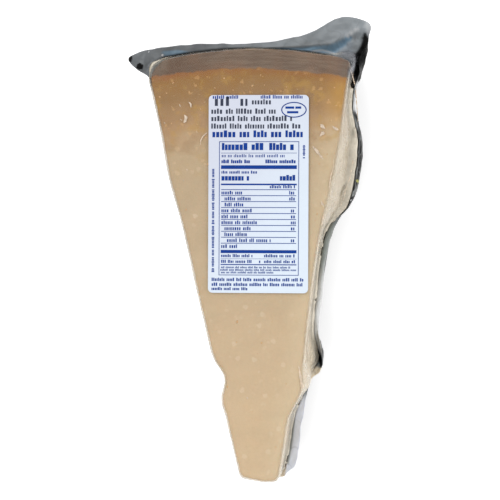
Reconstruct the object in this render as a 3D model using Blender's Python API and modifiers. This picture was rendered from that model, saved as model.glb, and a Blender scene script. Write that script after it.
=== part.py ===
"""Vacuum-packed wedge of aged hard cheese, lying on its back with the labelled face up.

The wedge is a slab cut from a round wheel, so its outline is drawn round the wheel's centre: two straight
sides, the curved rind at the wide end and a broken-off tip. A clear film covers its upper half and a dark
film its lower half. They are sealed together in a margin that runs round the middle of the thickness.
"""

import math

import bmesh
import bpy
import numpy as np
from mathutils import Vector, noise

# Driving dimensions of the wedge, in metres
WHEEL_RADIUS = 0.224  # from the wheel's centre to the outside of the rind
TIP_RADIUS = 0.047  # where the point of the wedge is broken off
HALF_ANGLE = math.radians(11.05)
THICKNESS = 0.050  # from the floor to the labelled face
SEAM_HEIGHT = 0.025  # where the two films meet, above the floor
TOP_EDGE = 0.0013  # radius of the edge round the labelled face
BACK_EDGE = 0.0022  # radius of the edge round the back
CORNER_SPREADS = {"top": 0.0016, "seam": 0.0024, "back": 0.0034}  # how far each outline's corners are rounded
SPINE = (0.075, 0.190)  # the faces are filled inwards to this stretch of the wedge's middle line

# Bumps and dents of the broken sides: distance from the wheel's centre, reach each way and height, in metres
NOTCH = (0.0905, 0.0095, 0.0034)
HOOK = (0.0815, 0.0060, 0.0009)
BELLY = (0.176, 0.020, 0.0010)
HOLLOW = (0.140, 0.050, 0.0017)
LIP = (0.086, 0.010, 0.0010)
BULGE_PEAK = (0.173, 0.014, 0.0017)
UPPER_BULGE = (0.168, 0.188, 0.019, 0.0062)  # start, end, shoulder and height
LOWER_BULGE = (0.096, 0.100, 0.008, 0.0042)
STEP_ENDS = (0.0765, 0.0785)  # the right side steps in below this stretch
STEP_DEPTH = 0.0024
SHOULDER_ENDS = (0.190, 0.206)
SHOULDER_DROP = 0.0006

# Rind and tip at the three heights, in metres
BARREL = {"top": 0.0004, "seam": 0.0006, "back": -0.0004}
RIND_BREAK = {"top": 0.0068, "seam": 0.0024, "back": 0.0030}  # at the left end of the rind
RIND_BREAK_END = 0.050  # share of the rind that is broken away
RIND_SLANT = 0.0018
RIND_RIGHT_DIP = 0.0010
TIP_BACK_OFF = {"top": 0.0, "seam": 0.0022, "back": 0.0030}
TIP_SLANT = {-1: 0.0013, 1: -0.0010}
TIP_LEDGE = 0.0007

# Films and label, in metres
FILM = 0.0004  # thickness of the dark film
GAP = 0.0003  # clearance between touching pieces
FILLET = 0.0008  # radius where the dark film turns out into the margin
LABEL_SIZE = (0.0412, 0.0811)
LABEL_CENTRE = (0.0024, 0.1642)
LABEL_TURN = math.radians(-2.2)
LABEL_CORNER = 0.0018
LABEL_THICKNESS = 0.0004

# Places on the outline where the ears and the tip's fold start, and the right ear's shape
LEFT_EAR = 0.955
RIGHT_EAR = 2.045
TIP_FOLD = 3.35
EAR_FAN = math.radians(8)  # the right ear's fold runs outwards from the side by this angle
EAR_REACH = 0.0098  # how far the right ear's sheet reaches beyond the side before it is folded
EAR_SQUARENESS = 6  # a round corner is 2, and a square one far more
FOLD_START = FILLET + 0.0003  # from the wall to where a fold begins, and the roll that it turns round
FOLD_RADIUS = 0.0010
EAR_FOLD_START = 0.0016
EAR_FOLD_RADIUS = 0.0013
WAVE = 0.00035  # height of the margin's own ripples
WAVES = 61.0  # radians of ripple for each side of the outline

# Mesh densities
OUTLINE_STEP = 0.00025  # spacing of the fine outline that the stations are read from
STATIONS = 110  # points round the wedge

# Relief of the broken cheese, in metres
FACE_RELIEF = 0.00035
WALL_RELIEF = 0.00045
RELIEF_GRAIN = 0.009  # distance between one crag and the next
LABEL_MARGIN = 0.005  # the face is pressed flat this far round the label

COLOURS = {
    "cheese_in_clear_film": ((0.66, 0.47, 0.27, 1.0), 0.35, 0.0),
    "dark_film": ((0.02, 0.022, 0.023, 1.0), 0.25, 0.0),
    "label": ((0.82, 0.86, 0.95, 1.0), 0.55, 0.0),
}


def hump(x, centre, reach, height):
    """A smooth bump of that height, which dies away at reach on each side of its centre."""
    t = abs(x - centre) / reach
    return height * 0.5 * (1.0 + math.cos(math.pi * t)) if t < 1.0 else 0.0


def ramp(x, start, end):
    """0 at start, 1 at end and beyond it, and smooth between them."""
    t = min(1.0, max(0.0, (x - start) / (end - start)))
    return t * t * (3.0 - 2.0 * t)


def plateau(x, low, high, shoulder, height):
    """A flat-topped bump from low to high, with a smooth shoulder on each side."""
    rising = ramp(x, low - shoulder, low)
    falling = ramp(x, high, high + shoulder)
    return height * rising * (1.0 - falling)


def between(x, stations):
    """Reads a value from (place, value) pairs in rising order, with smooth changes between them."""
    if x <= stations[0][0]:
        return stations[0][1]
    for (x0, v0), (x1, v1) in zip(stations, stations[1:]):
        if x <= x1:
            return v0 + (v1 - v0) * ramp(x, x0, x1)
    return stations[-1][1]


# Outline of the wedge at three heights


def left_swell(level, r):
    """How far the left side stands out from the straight cut, at a distance r from the wheel's centre."""
    notch = hump(r, *NOTCH)
    hook = hump(r, *HOOK)
    belly = hump(r, *BELLY)
    return {
        "top": belly + hook - notch,
        "seam": 0.4 * belly - 0.9 * notch,
        "back": -0.0012 - 0.6 * notch,
    }[level]


def right_swell(level, r):
    """The same for the right side, which bulges towards its middle height in two places."""
    hollow = hump(r, *HOLLOW)
    lip = hump(r, *LIP)
    broken = STEP_DEPTH * (1.0 - ramp(r, *STEP_ENDS))
    upper_bulge = plateau(r, *UPPER_BULGE) + hump(r, *BULGE_PEAK)
    lower_bulge = plateau(r, *LOWER_BULGE)
    shoulder = SHOULDER_DROP * ramp(r, *SHOULDER_ENDS)
    return {
        "top": lip - hollow - broken,
        "seam": upper_bulge + lower_bulge - 1.2 * hollow - shoulder - broken,
        "back": 0.6 * upper_bulge + 0.5 * lower_bulge - 0.0010 - broken,
    }[level]


def side_point(side, level, r):
    """A point on the left (side -1) or right (side +1) edge of the outline."""
    swell = left_swell(level, r) if side < 0 else right_swell(level, r)
    x = side * (r * math.sin(HALF_ANGLE) + swell * math.cos(HALF_ANGLE))
    y = r * math.cos(HALF_ANGLE) - swell * math.sin(HALF_ANGLE)
    return np.array((x, y))


def rind_radius(level, share):
    """Radius of the rind's outer face, from the left corner (share 0) to the right one (share 1).

    The rind is broken away at its left end, most of all at the labelled face.
    """
    left_dip = RIND_BREAK[level] * max(0.0, 1.0 - share / RIND_BREAK_END)
    right_dip = RIND_RIGHT_DIP * ramp(share, 0.92, 1.0)
    slant = RIND_SLANT * ramp(share, 0.45, 1.0)
    return WHEEL_RADIUS + BARREL[level] - slant - left_dip - right_dip


def tip_radius(level, side):
    """Distance from the wheel's centre to the tip's left (side -1) or right (side +1) corner."""
    return TIP_RADIUS + TIP_BACK_OFF[level] + TIP_SLANT[side]


def fine_outline(level):
    """The closed outline at one height, as places and points.

    A place counts the sides: 0 to 1 runs up the left side, 1 to 2 along the rind, 2 to 3 down the right
    side and 3 to 4 across the tip.
    """
    places = []
    points = []

    def add(first_place, path, length):
        steps = int(round(length / OUTLINE_STEP))
        for k in range(steps):
            places.append(first_place + k / steps)
            points.append(path(k / steps))

    ends = {}
    for side in (-1, 1):
        share = 0.0 if side < 0 else 1.0
        ends[side] = (tip_radius(level, side), rind_radius(level, share))
    left_low, left_high = ends[-1]
    right_low, right_high = ends[1]
    corner_left = side_point(-1, level, left_high)
    corner_right = side_point(1, level, right_high)
    tip_right = side_point(1, level, right_low)
    tip_left = side_point(-1, level, left_low)
    first_angle = math.atan2(corner_left[0], corner_left[1])
    last_angle = math.atan2(corner_right[0], corner_right[1])

    def rind(t):
        angle = first_angle + (last_angle - first_angle) * t
        radius = rind_radius(level, t)
        return np.array((radius * math.sin(angle), radius * math.cos(angle)))

    def tip(t):
        ledge = hump(t, 0.35, 0.35, TIP_LEDGE)
        return tip_right * (1.0 - t) + tip_left * t + np.array((0.0, -ledge))

    add(0.0, lambda t: side_point(-1, level, left_low + (left_high - left_low) * t), left_high - left_low)
    add(1.0, rind, (last_angle - first_angle) * WHEEL_RADIUS)
    add(2.0, lambda t: side_point(1, level, right_high + (right_low - right_high) * t), right_high - right_low)
    add(3.0, tip, float(np.linalg.norm(tip_right - tip_left)))
    return np.array(places), rounded(np.array(points), CORNER_SPREADS[level])


def rounded(points, spread):
    """Rounds the corners of a closed outline by a bell-shaped average over its neighbours."""
    reach = int(round(3.0 * spread / OUTLINE_STEP))
    offsets = np.arange(-reach, reach + 1)
    weights = np.exp(-0.5 * (offsets * OUTLINE_STEP / spread) ** 2)
    weights /= weights.sum()
    total = np.zeros_like(points)
    for offset, weight in zip(offsets, weights):
        total += weight * np.roll(points, -offset, axis=0)
    return total


def at_place(outline, place):
    """The point of an outline at a place, read between its two nearest fine points."""
    places, points = outline
    whole = np.append(places, places[0] + 4.0)
    x = np.interp(place % 4.0, whole, np.append(points[:, 0], points[0, 0]))
    y = np.interp(place % 4.0, whole, np.append(points[:, 1], points[0, 1]))
    return np.array((x, y))


def outward(outline, place):
    """Unit vector that points out of the outline at a place."""
    reach = 0.004
    along = at_place(outline, place + reach) - at_place(outline, place - reach)
    along /= np.linalg.norm(along)
    return np.array((-along[1], along[0]))


def station_places(outline):
    """Places of the stations: close together at the corners, the notch and the folds, wider elsewhere."""
    places, points = outline
    closed = np.vstack((points, points[:1]))
    steps = np.linalg.norm(np.diff(closed, axis=0), axis=1)

    def density(place):
        corners = sum(hump(place, k, 0.035, 3.2) for k in (0.0, 1.0, 2.0, 3.0, 4.0))
        notch = hump(place, 0.24, 0.08, 1.0)
        ears = hump(place, 2.0, 0.12, 1.2)
        turn = hump(place, 2.36, 0.05, 1.6)
        tab = hump(place, 2.71, 0.12, 1.4)
        tip = plateau(place, 3.0, 4.0, 0.01, 1.0)
        return 1.0 + corners + notch + ears + turn + tab + tip

    heights = np.array([density(p) for p in places]) * steps
    total = np.append(0.0, np.cumsum(heights))
    wanted = (np.arange(STATIONS) + 0.5) / STATIONS * total[-1]
    return np.interp(wanted, total, np.append(places, 4.0))


# Relief of the broken cheese under the film


def crag(x, y, z, grain=RELIEF_GRAIN):
    """Uneven height between about -1 and 1, the same on every run."""
    broad = noise.noise(Vector((x, y, z)) / grain)
    fine = noise.noise(Vector((x + 3.0, y, z)) / (0.45 * grain))
    return broad + 0.5 * fine


def clear_of_label(x, y):
    """0 under the label and close to it, and 1 away from it."""
    dx = x - LABEL_CENTRE[0]
    dy = y - LABEL_CENTRE[1]
    u = dx * math.cos(LABEL_TURN) + dy * math.sin(LABEL_TURN)
    v = dy * math.cos(LABEL_TURN) - dx * math.sin(LABEL_TURN)
    beyond = max(abs(u) - LABEL_SIZE[0] / 2, abs(v) - LABEL_SIZE[1] / 2)
    return ramp(beyond, 0.001, LABEL_MARGIN)


def face_height(x, y):
    """Height of the labelled face, with its shallow waves away from the label."""
    return THICKNESS + FACE_RELIEF * crag(x, y, 0.0) * clear_of_label(x, y)


# Sections through the wall


def overhang(place):
    """How far the wall swells out between the seam and the face, above the broken step on the right side."""
    return hump(place, 2.765, 0.045, 0.0030)


def wall_point(outlines, place, z, inflate=0.0):
    """A point of the cheese's wall at a height, moved out by inflate."""
    top = at_place(outlines["top"], place)
    seam = at_place(outlines["seam"], place)
    back = at_place(outlines["back"], place)
    if z >= SEAM_HEIGHT:
        share = ((THICKNESS - z) / (THICKNESS - SEAM_HEIGHT)) ** 0.9
        swell = overhang(place) * math.sin(math.pi * share)
        point = top + (seam - top) * share + outward(outlines["seam"], place) * swell
    else:
        point = back + (seam - back) * ramp(z, 0.0, SEAM_HEIGHT)
    edge = ramp(z, 0.0, 0.004) * (1.0 - ramp(z, THICKNESS - 0.004, THICKNESS))
    relief = WALL_RELIEF * crag(point[0], point[1], z) * edge
    return point + outward(outlines["seam"], place) * (relief + inflate)


def pulled_in(point, outlines, place, distance):
    """A point moved straight into the wedge."""
    return point - outward(outlines["seam"], place) * distance


def ring(outlines, places, z, inset=0.0, inflate=0.0):
    """A ring of points at one height, pulled in by inset."""
    made = []
    for place in places:
        level = min(max(z, 0.0), THICKNESS)
        xy = pulled_in(wall_point(outlines, place, level, inflate), outlines, place, inset)
        made.append(Vector((xy[0], xy[1], z)))
    return made


def drawn_in(points, share):
    """A ring drawn in towards the wedge's middle line, and left level."""
    made = []
    for p in points:
        middle = Vector((0.0, min(max(p.y, SPINE[0]), SPINE[1]), p.z))
        made.append(middle + (p - middle) * share)
    return made


def skin_rings(bm, rings, close_start=True, close_end=True):
    """Joins rings of points with faces, and fills the first and the last ring where asked."""
    loops = [[bm.verts.new(p) for p in points] for points in rings]
    count = len(loops[0])
    for lower, upper in zip(loops, loops[1:]):
        for i in range(count):
            j = (i + 1) % count
            bm.faces.new((lower[i], lower[j], upper[j], upper[i]))
    if close_start:
        bm.faces.new(list(reversed(loops[0])))
    if close_end:
        bm.faces.new(loops[-1])


def new_object(name, bm, collection):
    """Makes an object of a mesh, with its faces pointing out and its own material."""
    bmesh.ops.triangulate(bm, faces=bm.faces[:])
    bmesh.ops.recalc_face_normals(bm, faces=bm.faces[:])
    mesh = bpy.data.meshes.new(name)
    bm.to_mesh(mesh)
    bm.free()
    made = bpy.data.objects.new(name, mesh)
    collection.objects.link(made)
    made.data.materials.append(material(name))
    mesh.shade_smooth()
    mesh.set_sharp_from_angle(angle=math.radians(40))
    return made


def material(name):
    """A plain finish of the piece's own colour, roughness and metallic value."""
    colour, roughness, metallic = COLOURS[name]
    made = bpy.data.materials.new(name)
    made.use_nodes = True
    shader = made.node_tree.nodes["Principled BSDF"]
    shader.inputs["Base Color"].default_value = colour
    shader.inputs["Roughness"].default_value = roughness
    shader.inputs["Metallic"].default_value = metallic
    made.diffuse_color = colour
    return made


# The cheese with the clear film drawn tight over it


def make_cheese(outlines, places, collection):
    """The whole wedge: its walls, the flat back and the labelled face, as one closed solid."""
    floor = FILM + GAP
    rings = []
    for k in range(4):
        turn = math.pi / 2 * k / 3
        inset = BACK_EDGE * (1.0 - math.sin(turn))
        rings.append(ring(outlines, places, floor + BACK_EDGE * (1.0 - math.cos(turn)), inset))
    for z in (0.009, 0.017, SEAM_HEIGHT - FILLET, 0.031, 0.037, 0.043, 0.0470):
        rings.append(ring(outlines, places, z))
    for k in range(3):
        turn = math.pi / 2 * k / 2
        inset = TOP_EDGE * (1.0 - math.cos(turn))
        rings.append(ring(outlines, places, THICKNESS - TOP_EDGE * (1.0 - math.sin(turn)), inset))
    rim = rings[-1]
    for share in (0.93, 0.82, 0.66, 0.46, 0.24):
        inner = drawn_in(rim, share)
        rings.append([Vector((p.x, p.y, face_height(p.x, p.y))) for p in inner])
    bm = bmesh.new()
    skin_rings(bm, rings)
    return new_object("cheese_in_clear_film", bm, collection)


# The sealed margin of the films: how wide it is and which way it is folded


def rind_margin(place):
    """Width of the margin beyond the rind, from the left corner to the ear at the right corner."""
    widths = (
        (1.00, 0.0072),
        (1.15, 0.0062),
        (1.46, 0.0038),
        (1.54, 0.0040),
        (1.72, 0.0070),
        (1.92, 0.0186),
        (2.00, 0.0182),
    )
    return between(place, widths)


def side_margin(place):
    """Width of the margin along the left side, the right side and the tip, before it is folded."""
    widths = (
        (0.00, 0.0060),
        (0.90, 0.0060),
        (0.96, 0.0030),
        (1.00, 0.0030),
        (2.00, 0.0092),
        (2.10, 0.0078),
        (2.29, 0.0092),
        (2.350, 0.0030),
        (2.365, 0.0022),
        (2.41, 0.0046),
        (2.62, 0.0046),
        (2.655, 0.0022),
        (2.70, 0.0074),
        (2.73, 0.0062),
        (2.75, 0.0018),
        (2.81, 0.0018),
        (2.84, 0.0036),
        (2.982, 0.0046),
        (2.994, 0.0020),
        (3.05, 0.0030),
        (3.30, 0.0055),
        (4.00, 0.0060),
    )
    return between(place, widths)


def side_fold(place):
    """Angle of the fold, in degrees: up and over the wall is positive, down along the dark film negative."""
    angles = (
        (0.00, -82.0),
        (0.95, -82.0),
        (0.99, -35.0),
        (1.00, -12.0),
        (2.00, 94.0),
        (2.08, 92.0),
        (2.12, 103.0),
        (2.33, 106.0),
        (2.352, 96.0),
        (2.385, -70.0),
        (2.42, -80.0),
        (2.62, -80.0),
        (2.642, -70.0),
        (2.672, 84.0),
        (2.70, 100.0),
        (2.73, 92.0),
        (2.75, 8.0),
        (2.97, 8.0),
        (3.00, -60.0),
        (3.20, -80.0),
        (4.00, -82.0),
    )
    return between(place, angles)


def ear_fold(height):
    """Angle of the right corner's fold, in degrees, at a height above the corner along the folded side."""
    angles = ((0.0, 94.0), (0.006, 100.0), (0.011, 142.0), (0.020, 156.0), (0.0245, 100.0), (0.028, 30.0))
    return between(height, angles)


def margin_tilt(place):
    """Slope of the margin before it is folded: it droops at the middle of the rind and lifts at the ear."""
    slopes = ((0.95, 0.0), (1.00, 0.10), (1.50, -0.30), (1.80, 0.05), (2.00, 0.22), (2.05, 0.0))
    return between(place, slopes)


def rolled(distance, degrees, radius):
    """How far out and up a strip reaches that turns through an angle round a roll of that radius."""
    if distance <= 0.0 or abs(degrees) < 0.5:
        return distance, 0.0
    turn = math.radians(abs(degrees))
    sign = math.copysign(1.0, degrees)
    angle = min(distance / radius, turn)
    straight = max(0.0, distance - radius * turn)
    out = radius * math.sin(angle) + straight * math.cos(turn)
    up = radius * (1.0 - math.cos(angle)) + straight * math.sin(turn)
    return out, sign * up


def fold_line(outlines, place, fan=0.0):
    """A point on a straight fold line, and the way out across it, turned clockwise by fan."""
    root = wall_point(outlines, place, SEAM_HEIGHT, GAP)
    out = outward(outlines["seam"], place)
    turned = (out[0] * math.cos(fan) + out[1] * math.sin(fan), out[1] * math.cos(fan) - out[0] * math.sin(fan))
    return root, np.array(turned)


def margin_stations(outlines, places):
    """For each station: its root, its ray, its flat width and the side whose fold it takes part in."""
    sides = {
        "left": fold_line(outlines, LEFT_EAR),
        "right": fold_line(outlines, RIGHT_EAR, EAR_FAN),
        "tip": fold_line(outlines, TIP_FOLD),
    }
    left_way = outward(outlines["seam"], LEFT_EAR)
    right_way = outward(outlines["seam"], RIGHT_EAR)
    made = []
    for place in places:
        root = wall_point(outlines, place, SEAM_HEIGHT, GAP)
        ray = outward(outlines["seam"], place)
        if LEFT_EAR < place < 1.5:
            fold, width = "left", left_ear_width(ray, left_way, rind_margin(place))
        elif 1.5 <= place < RIGHT_EAR:
            fold, width = "right", right_ear_width(ray, right_way, rind_margin(place))
        elif 2.985 < place < 3.12:
            fold, width = "tip", side_margin(place)
        else:
            fold, width = "own", side_margin(place)
        made.append((place, root, ray, width, fold))
    return made, sides


def left_ear_width(ray, side_way, beyond_rind):
    """Length of a ray in the left ear, a narrow point that sticks out sideways from the corner."""
    angle = math.degrees(math.acos(min(1.0, max(-1.0, float(ray @ side_way)))))
    lengths = ((0.0, 0.0024), (17.0, 0.0024), (34.0, 0.0146), (52.0, 0.0112), (80.0, beyond_rind))
    return between(angle, lengths)


def right_ear_width(ray, side_way, beyond_rind):
    """Length of a ray in the right ear, a large sheet with a nearly square corner."""
    across = abs(float(ray @ side_way))
    up = math.sqrt(max(0.0, 1.0 - across * across))
    power = EAR_SQUARENESS
    return ((up / beyond_rind) ** power + (across / EAR_REACH) ** power) ** (-1 / power)


def margin_point(station, sides, q):
    """A point of the margin, q along its flat ray, after the fold."""
    place, root, ray, width, fold = station
    flat = root + ray * q
    lift = margin_tilt(place) * (q - FILLET)
    wave = WAVE * math.sin(place * WAVES) * ramp(q, 0.0, 0.005)
    start, radius = FOLD_START, FOLD_RADIUS
    if fold == "own":
        line_root, out = root, ray
        degrees = side_fold(place)
    else:
        line_root, out = sides[fold]
        along = np.array((-out[1], out[0]))
        height = float((flat - line_root) @ along)
        if fold == "right":
            degrees = ear_fold(height)
            start, radius = EAR_FOLD_START, EAR_FOLD_RADIUS
        elif fold == "left":
            degrees = side_fold(LEFT_EAR) * (1.0 - ramp(abs(height), 0.0005, 0.0040))
        else:
            degrees = side_fold(TIP_FOLD)
    distance = float((flat - line_root) @ out)
    out_by, up_by = rolled(distance - start, degrees, radius)
    if distance > start:
        flat = flat + out * (start + out_by - distance)
    return Vector((flat[0], flat[1], SEAM_HEIGHT + lift + wave + up_by))


def margin_rings(outlines, places):
    """Rings of the margin from its root to its free edge, closer together where it is folded."""
    stations, sides = margin_stations(outlines, places)
    shares = (0.0, 0.16, 0.30, 0.42, 0.54, 0.68, 0.84, 1.0)
    rings = []
    for share in shares:
        made = []
        for station in stations:
            width = station[3]
            made.append(margin_point(station, sides, FILLET + (width - FILLET) * share))
        rings.append(made)
    return rings


def make_dark_film(outlines, places, collection):
    """The dark film: a flat back, a wall up to the seam and the margin, as one thin skin."""
    rings = []
    for k in range(4):
        turn = math.pi / 2 * k / 3
        radius = BACK_EDGE + GAP
        inset = BACK_EDGE - radius * math.sin(turn)
        rings.append(ring(outlines, places, FILM + radius * (1.0 - math.cos(turn)), inset))
    rings.insert(0, drawn_in(rings[0], 0.95))
    for z in (0.009, 0.017, SEAM_HEIGHT - FILLET):
        rings.append(ring(outlines, places, z, inflate=GAP))
    rings.append(ring(outlines, places, SEAM_HEIGHT - 0.3 * FILLET, inflate=GAP + 0.3 * FILLET))
    rings += margin_rings(outlines, places)
    bm = bmesh.new()
    skin_rings(bm, rings, close_end=False)
    film = new_object("dark_film", bm, collection)
    skin = film.modifiers.new("Thickness", "SOLIDIFY")
    skin.thickness = FILM
    skin.offset = 1.0
    return film


# The label


def make_label(collection):
    """A paper label with rounded corners, flat on the face."""
    curve = bpy.data.curves.new("label_outline", "CURVE")
    curve.dimensions = "2D"
    curve.fill_mode = "BOTH"
    curve.extrude = LABEL_THICKNESS / 2
    half_width = LABEL_SIZE[0] / 2 - LABEL_CORNER
    half_height = LABEL_SIZE[1] / 2 - LABEL_CORNER
    corners = ((1, 1), (-1, 1), (-1, -1), (1, -1))
    points = []
    for index, (sx, sy) in enumerate(corners):
        for k in range(7):
            angle = math.pi / 2 * (index + k / 6)
            x = sx * half_width + LABEL_CORNER * math.cos(angle)
            y = sy * half_height + LABEL_CORNER * math.sin(angle)
            points.append((x, y))
    spline = curve.splines.new("POLY")
    spline.points.add(len(points) - 1)
    for point, (x, y) in zip(spline.points, points):
        point.co = (x, y, 0.0, 1.0)
    spline.use_cyclic_u = True
    label = bpy.data.objects.new("label", curve)
    collection.objects.link(label)
    label.location = (*LABEL_CENTRE, THICKNESS + GAP + LABEL_THICKNESS / 2)
    label.rotation_euler = (0.0, 0.0, LABEL_TURN)
    label.data.materials.append(material("label"))
    return label


# Placing


def stand_on_origin(objects):
    """Hangs the pieces on an empty, with the middle of the whole base at the origin."""
    bpy.context.view_layer.update()
    graph = bpy.context.evaluated_depsgraph_get()
    points = []
    for piece in objects:
        evaluated = piece.evaluated_get(graph)
        points += [evaluated.matrix_world @ v.co for v in evaluated.to_mesh().vertices]
        evaluated.to_mesh_clear()
    low = Vector([min(p[k] for p in points) for k in range(3)])
    high = Vector([max(p[k] for p in points) for k in range(3)])
    base = bpy.data.objects.new("pack_base", None)
    objects[0].users_collection[0].objects.link(base)
    base.location = (-(low.x + high.x) / 2, -(low.y + high.y) / 2, -low.z)
    for piece in objects:
        piece.parent = base
    bpy.context.view_layer.update()


def main():
    for old in list(bpy.data.objects):
        bpy.data.objects.remove(old, do_unlink=True)
    collection = bpy.data.collections.new("packed_cheese_wedge")
    bpy.context.scene.collection.children.link(collection)
    outlines = {level: fine_outline(level) for level in ("top", "seam", "back")}
    places = station_places(outlines["top"])
    cheese = make_cheese(outlines, places, collection)
    film = make_dark_film(outlines, places, collection)
    label = make_label(collection)
    stand_on_origin([cheese, film, label])


main()
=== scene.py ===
# A vacuum packed wedge of hard cheese: its broken paste and rind, the two films, the label and the print on it.
import math
import random

import bmesh
import bpy
import numpy as np
from mathutils import Matrix, Vector
from mathutils.bvhtree import BVHTree


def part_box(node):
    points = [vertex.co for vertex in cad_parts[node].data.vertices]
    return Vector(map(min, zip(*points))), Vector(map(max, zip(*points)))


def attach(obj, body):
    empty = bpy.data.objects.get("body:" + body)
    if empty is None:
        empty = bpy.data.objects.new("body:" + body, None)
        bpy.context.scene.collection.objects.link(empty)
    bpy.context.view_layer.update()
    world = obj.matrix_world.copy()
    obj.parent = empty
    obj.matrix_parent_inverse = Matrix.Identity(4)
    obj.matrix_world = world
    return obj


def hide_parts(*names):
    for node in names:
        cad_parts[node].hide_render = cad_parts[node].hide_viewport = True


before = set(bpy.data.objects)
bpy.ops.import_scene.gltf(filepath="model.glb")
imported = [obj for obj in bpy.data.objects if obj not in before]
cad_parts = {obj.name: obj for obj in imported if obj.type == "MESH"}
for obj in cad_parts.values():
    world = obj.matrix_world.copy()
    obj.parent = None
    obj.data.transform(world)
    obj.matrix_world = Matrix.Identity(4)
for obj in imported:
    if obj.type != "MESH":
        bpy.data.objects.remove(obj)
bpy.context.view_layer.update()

millimetre = 0.001

# Where the wedge was cut from its wheel: rind and colours follow the distance from the wheel's centre
wedge = {
    "labelFromWheel": Vector((0.0024, 0.1642, 0.0)),  # the label's middle, seen from the wheel's centre
    "labelTurn": math.radians(-2.2),
    "halfAngle": 11.05,  # degrees from the middle line to either side
    "tipRadius": 47.0,  # millimetres from the wheel's centre
    "rindRadius": 224.0,
    "seamHeight": 0.025,
}
labelLow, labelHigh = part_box("label")
labelCentre = (labelLow + labelHigh) / 2
wheelCentre = Vector((labelCentre.x, labelCentre.y, 0.0)) - wedge["labelFromWheel"]


def spot(right, up, height):  # a place given in millimetres from the label's middle and above the floor
    return Vector((labelCentre.x + right * millimetre, labelCentre.y + up * millimetre, height * millimetre))


# Small helpers for node trees and meshes


def tint(red, green, blue, alpha=1.0):  # a screen colour from 0 to 255, turned into linear light
    parts = [value / 255 for value in (red, green, blue)]
    linear = [((part + 0.055) / 1.055) ** 2.4 if part > 0.04045 else part / 12.92 for part in parts]
    return (*linear, alpha)


def addNode(tree, kind, inputs=None, **choices):  # each input takes a value or another node's socket
    node = tree.nodes.new(kind)
    for name, value in choices.items():
        setattr(node, name, value)
    for name, value in (inputs or {}).items():
        if isinstance(value, bpy.types.NodeSocket):
            tree.links.new(value, node.inputs[name])
        else:
            node.inputs[name].default_value = value
    return node


def calc(tree, operation, first, second=0.0, third=0.0, clamped=False):
    sums = {0: first, 1: second, 2: third}
    return addNode(tree, "ShaderNodeMath", sums, operation=operation, use_clamp=clamped).outputs[0]


def times(tree, first, *others):
    for other in others:
        first = calc(tree, "MULTIPLY", first, other)
    return first


def timesPlus(tree, first, factor, rest):
    return calc(tree, "MULTIPLY_ADD", first, factor, rest)


def minus(tree, first, second):
    return calc(tree, "SUBTRACT", first, second)


def highest(tree, first, *others):
    for other in others:
        first = calc(tree, "MAXIMUM", first, other)
    return first


def vectorCalc(tree, operation, first, second=(0.0, 0.0, 0.0)):
    return addNode(tree, "ShaderNodeVectorMath", {0: first, 1: second}, operation=operation).outputs[0]


def scaled(tree, vector, factor):
    return addNode(tree, "ShaderNodeVectorMath", {0: vector, "Scale": factor}, operation="SCALE").outputs[0]


def lengthOf(tree, vector):
    return addNode(tree, "ShaderNodeVectorMath", {0: vector}, operation="LENGTH").outputs["Value"]


def smooth(tree, value, low, high, toLow=0.0, toHigh=1.0):  # a soft step from toLow to toHigh
    ends = {"Value": value, "From Min": low, "From Max": high, "To Min": toLow, "To Max": toHigh}
    return addNode(tree, "ShaderNodeMapRange", ends, interpolation_type="SMOOTHSTEP").outputs["Result"]


def mixColours(tree, factor, first, second, blend="MIX"):
    parts = {0: factor, 6: first, 7: second}
    return addNode(tree, "ShaderNodeMix", parts, data_type="RGBA", blend_type=blend).outputs[2]


def overlaid(tree, colour, look, *layers):  # lays a look's named colours over a colour, each with its own mask
    for mask, name in layers:
        colour = mixColours(tree, mask, colour, tint(*look[name]))
    return colour


def noiseAt(tree, coords, size, detail=2.0, roughness=0.5, output=0):  # size of a patch in metres
    scale = calc(tree, "DIVIDE", 1.0, size) if isinstance(size, bpy.types.NodeSocket) else 1.0 / size
    inputs = {"Vector": coords, "Scale": scale, "Detail": detail, "Roughness": roughness}
    return addNode(tree, "ShaderNodeTexNoise", inputs).outputs[output]


def jitter(tree, coords, size, amount, detail=2.0):  # an uneven shift, at most half the amount to each side
    drawn = noiseAt(tree, coords, size, detail, output=1)
    return scaled(tree, vectorCalc(tree, "SUBTRACT", drawn, (0.5, 0.5, 0.5)), amount)


def bumped(tree, height, strength, distance):
    inputs = {"Height": height, "Strength": strength, "Distance": distance}
    return addNode(tree, "ShaderNodeBump", inputs).outputs["Normal"]


def objectCoords(tree):
    return addNode(tree, "ShaderNodeTexCoord").outputs["Object"]


def feed(tree, node, values):  # links each value to the node's socket of that name
    for name, value in values.items():
        tree.links.new(value, node.inputs[name])


def newMaterial(name, **plain):  # a Principled material; plain values are set on the shader's own sockets
    material = bpy.data.materials.new(name)
    material.use_nodes = True
    tree = material.node_tree
    shader = tree.nodes["Principled BSDF"]
    for socket, value in plain.items():
        shader.inputs[socket].default_value = value
    return material, tree, shader


def newGroup(name, inputs, outputs, kind="ShaderNodeTree"):
    group = bpy.data.node_groups.new(name, kind)
    for label, socketType, value in inputs:
        socket = group.interface.new_socket(label, in_out="INPUT", socket_type=socketType)
        if value is not None:
            socket.default_value = value
    for label, socketType in outputs:
        group.interface.new_socket(label, in_out="OUTPUT", socket_type=socketType)
    return group, group.nodes.new("NodeGroupInput"), group.nodes.new("NodeGroupOutput")


def useGroup(tree, group, inputs):
    return addNode(tree, "ShaderNodeGroup", inputs, node_tree=group).outputs


def newPiece(name, vertices, faces, edges=()):
    mesh = bpy.data.meshes.new(name)
    mesh.from_pydata(vertices, edges, faces)
    mesh.update()
    return showMesh(name, mesh)


def showMesh(name, mesh):
    piece = bpy.data.objects.new(name, mesh)
    bpy.context.scene.collection.objects.link(piece)
    return piece


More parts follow.
